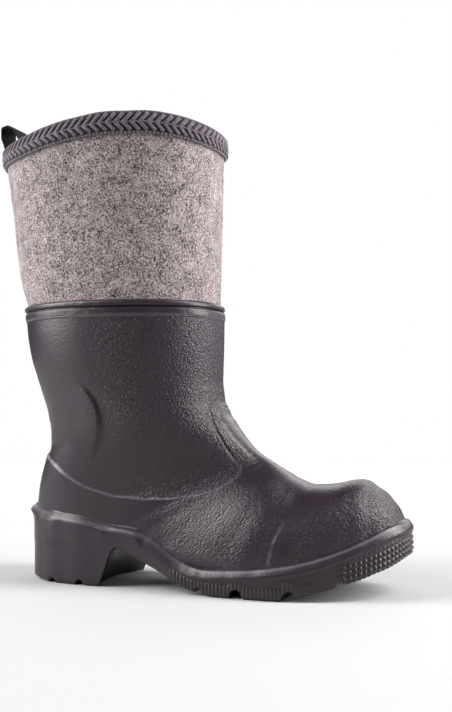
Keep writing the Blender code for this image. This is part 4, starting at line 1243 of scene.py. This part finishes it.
# %% [markdown]
# ## Stage
# A pale floor, and soft light as in a product studio. A broad panel at the left and a narrower one
# at the right draw the long streaks on the shaft and leave its middle dark; weak ones above and behind
# lift the rims. Two wide panels face straight down: one behind the boot, so that the far floor is as
# white as the backdrop and no horizon shows, and a weak one on the camera's side that fills the shadows.

# %% Floor and backdrop
bpy.ops.mesh.primitive_plane_add(size=3.4)
floor = bpy.context.object
floor.name = "studio_floor"
paper, tree, place = new_material("paper_backdrop_matt")
FLECK_MM = 2.0
flecks = {"Vector": place, "Scale": per_metre(FLECK_MM), "Detail": 2.0}
fleck = add_node(tree, "TexNoise", flecks).outputs["Fac"]
tint = add_node(tree, "MixRGB", {"Fac": fleck, "Color1": "#b4b8b6", "Color2": "#babebc"}).outputs["Color"]
dress(paper, {"Base Color": tint, "Roughness": 0.9})
floor.data.materials.append(paper)

world = bpy.data.worlds.new("studio")
bpy.context.scene.world = world
world.use_nodes = True
sky = world.node_tree
seen = add_node(sky, "LightPath").outputs["Is Camera Ray"]
# The backdrop is white to the camera, and lights the boot only faintly
SKY_STRENGTH = 0.03
level = add_node(sky, "MapRange", {"Value": seen, "To Min": SKY_STRENGTH}).outputs["Result"]
set_inputs(sky, sky.nodes["Background"], {"Color": "#ffffff", "Strength": level})
bpy.context.scene.view_settings.view_transform = "Standard"
print("floor", floor.dimensions[0], "m across")

# %% Studio lights
# Each light: its turn from the camera's side, its height and its reach, whether it looks at the boot (1)
# or straight down (0), its size, and its power
LIGHTS = (
    ("left_panel", -84.0, 0.9, 1.4, 1.0, (0.9, 1.5), 48.0),
    ("right_panel", 80.0, 0.8, 1.3, 1.0, (0.45, 1.4), 37.0),
    ("front_panel", 12.0, 0.9, 1.7, 0.0, (2.4, 1.0), 7.0),
    ("back_panel", 148.0, 0.8, 1.8, 1.0, (0.9, 1.2), 1.5),
    ("top_panel", 66.0, 1.5, 0.8, 1.0, (0.6, 0.6), 7.0),
    ("floor_panel", 180.0, 0.7, 1.5, 0.0, (4.6, 1.2), 52.0),
)
LIGHT_TINT = "#fffafd"
AIM_Z = 0.16
for name, turn_deg, height, reach, at_boot, size, watts in LIGHTS:
    turn = azimuth + math.radians(turn_deg)
    stand = Vector((math.sin(turn) * reach, -math.cos(turn) * reach, height))
    aim = Vector((stand.x * (1 - at_boot), stand.y * (1 - at_boot), AIM_Z * at_boot))
    bpy.ops.object.light_add(type="AREA", location=stand)
    light = bpy.context.object
    light.name = name
    light.rotation_mode = "QUATERNION"
    light.rotation_quaternion = (stand - aim).to_track_quat("Z", "Y")
    light.data.shape = "RECTANGLE"
    light.data.size, light.data.size_y = size
    light.data.energy = watts
    light.data.color = linear(LIGHT_TINT)[:3]
    light.visible_camera = False
print(len(LIGHTS), "lights")
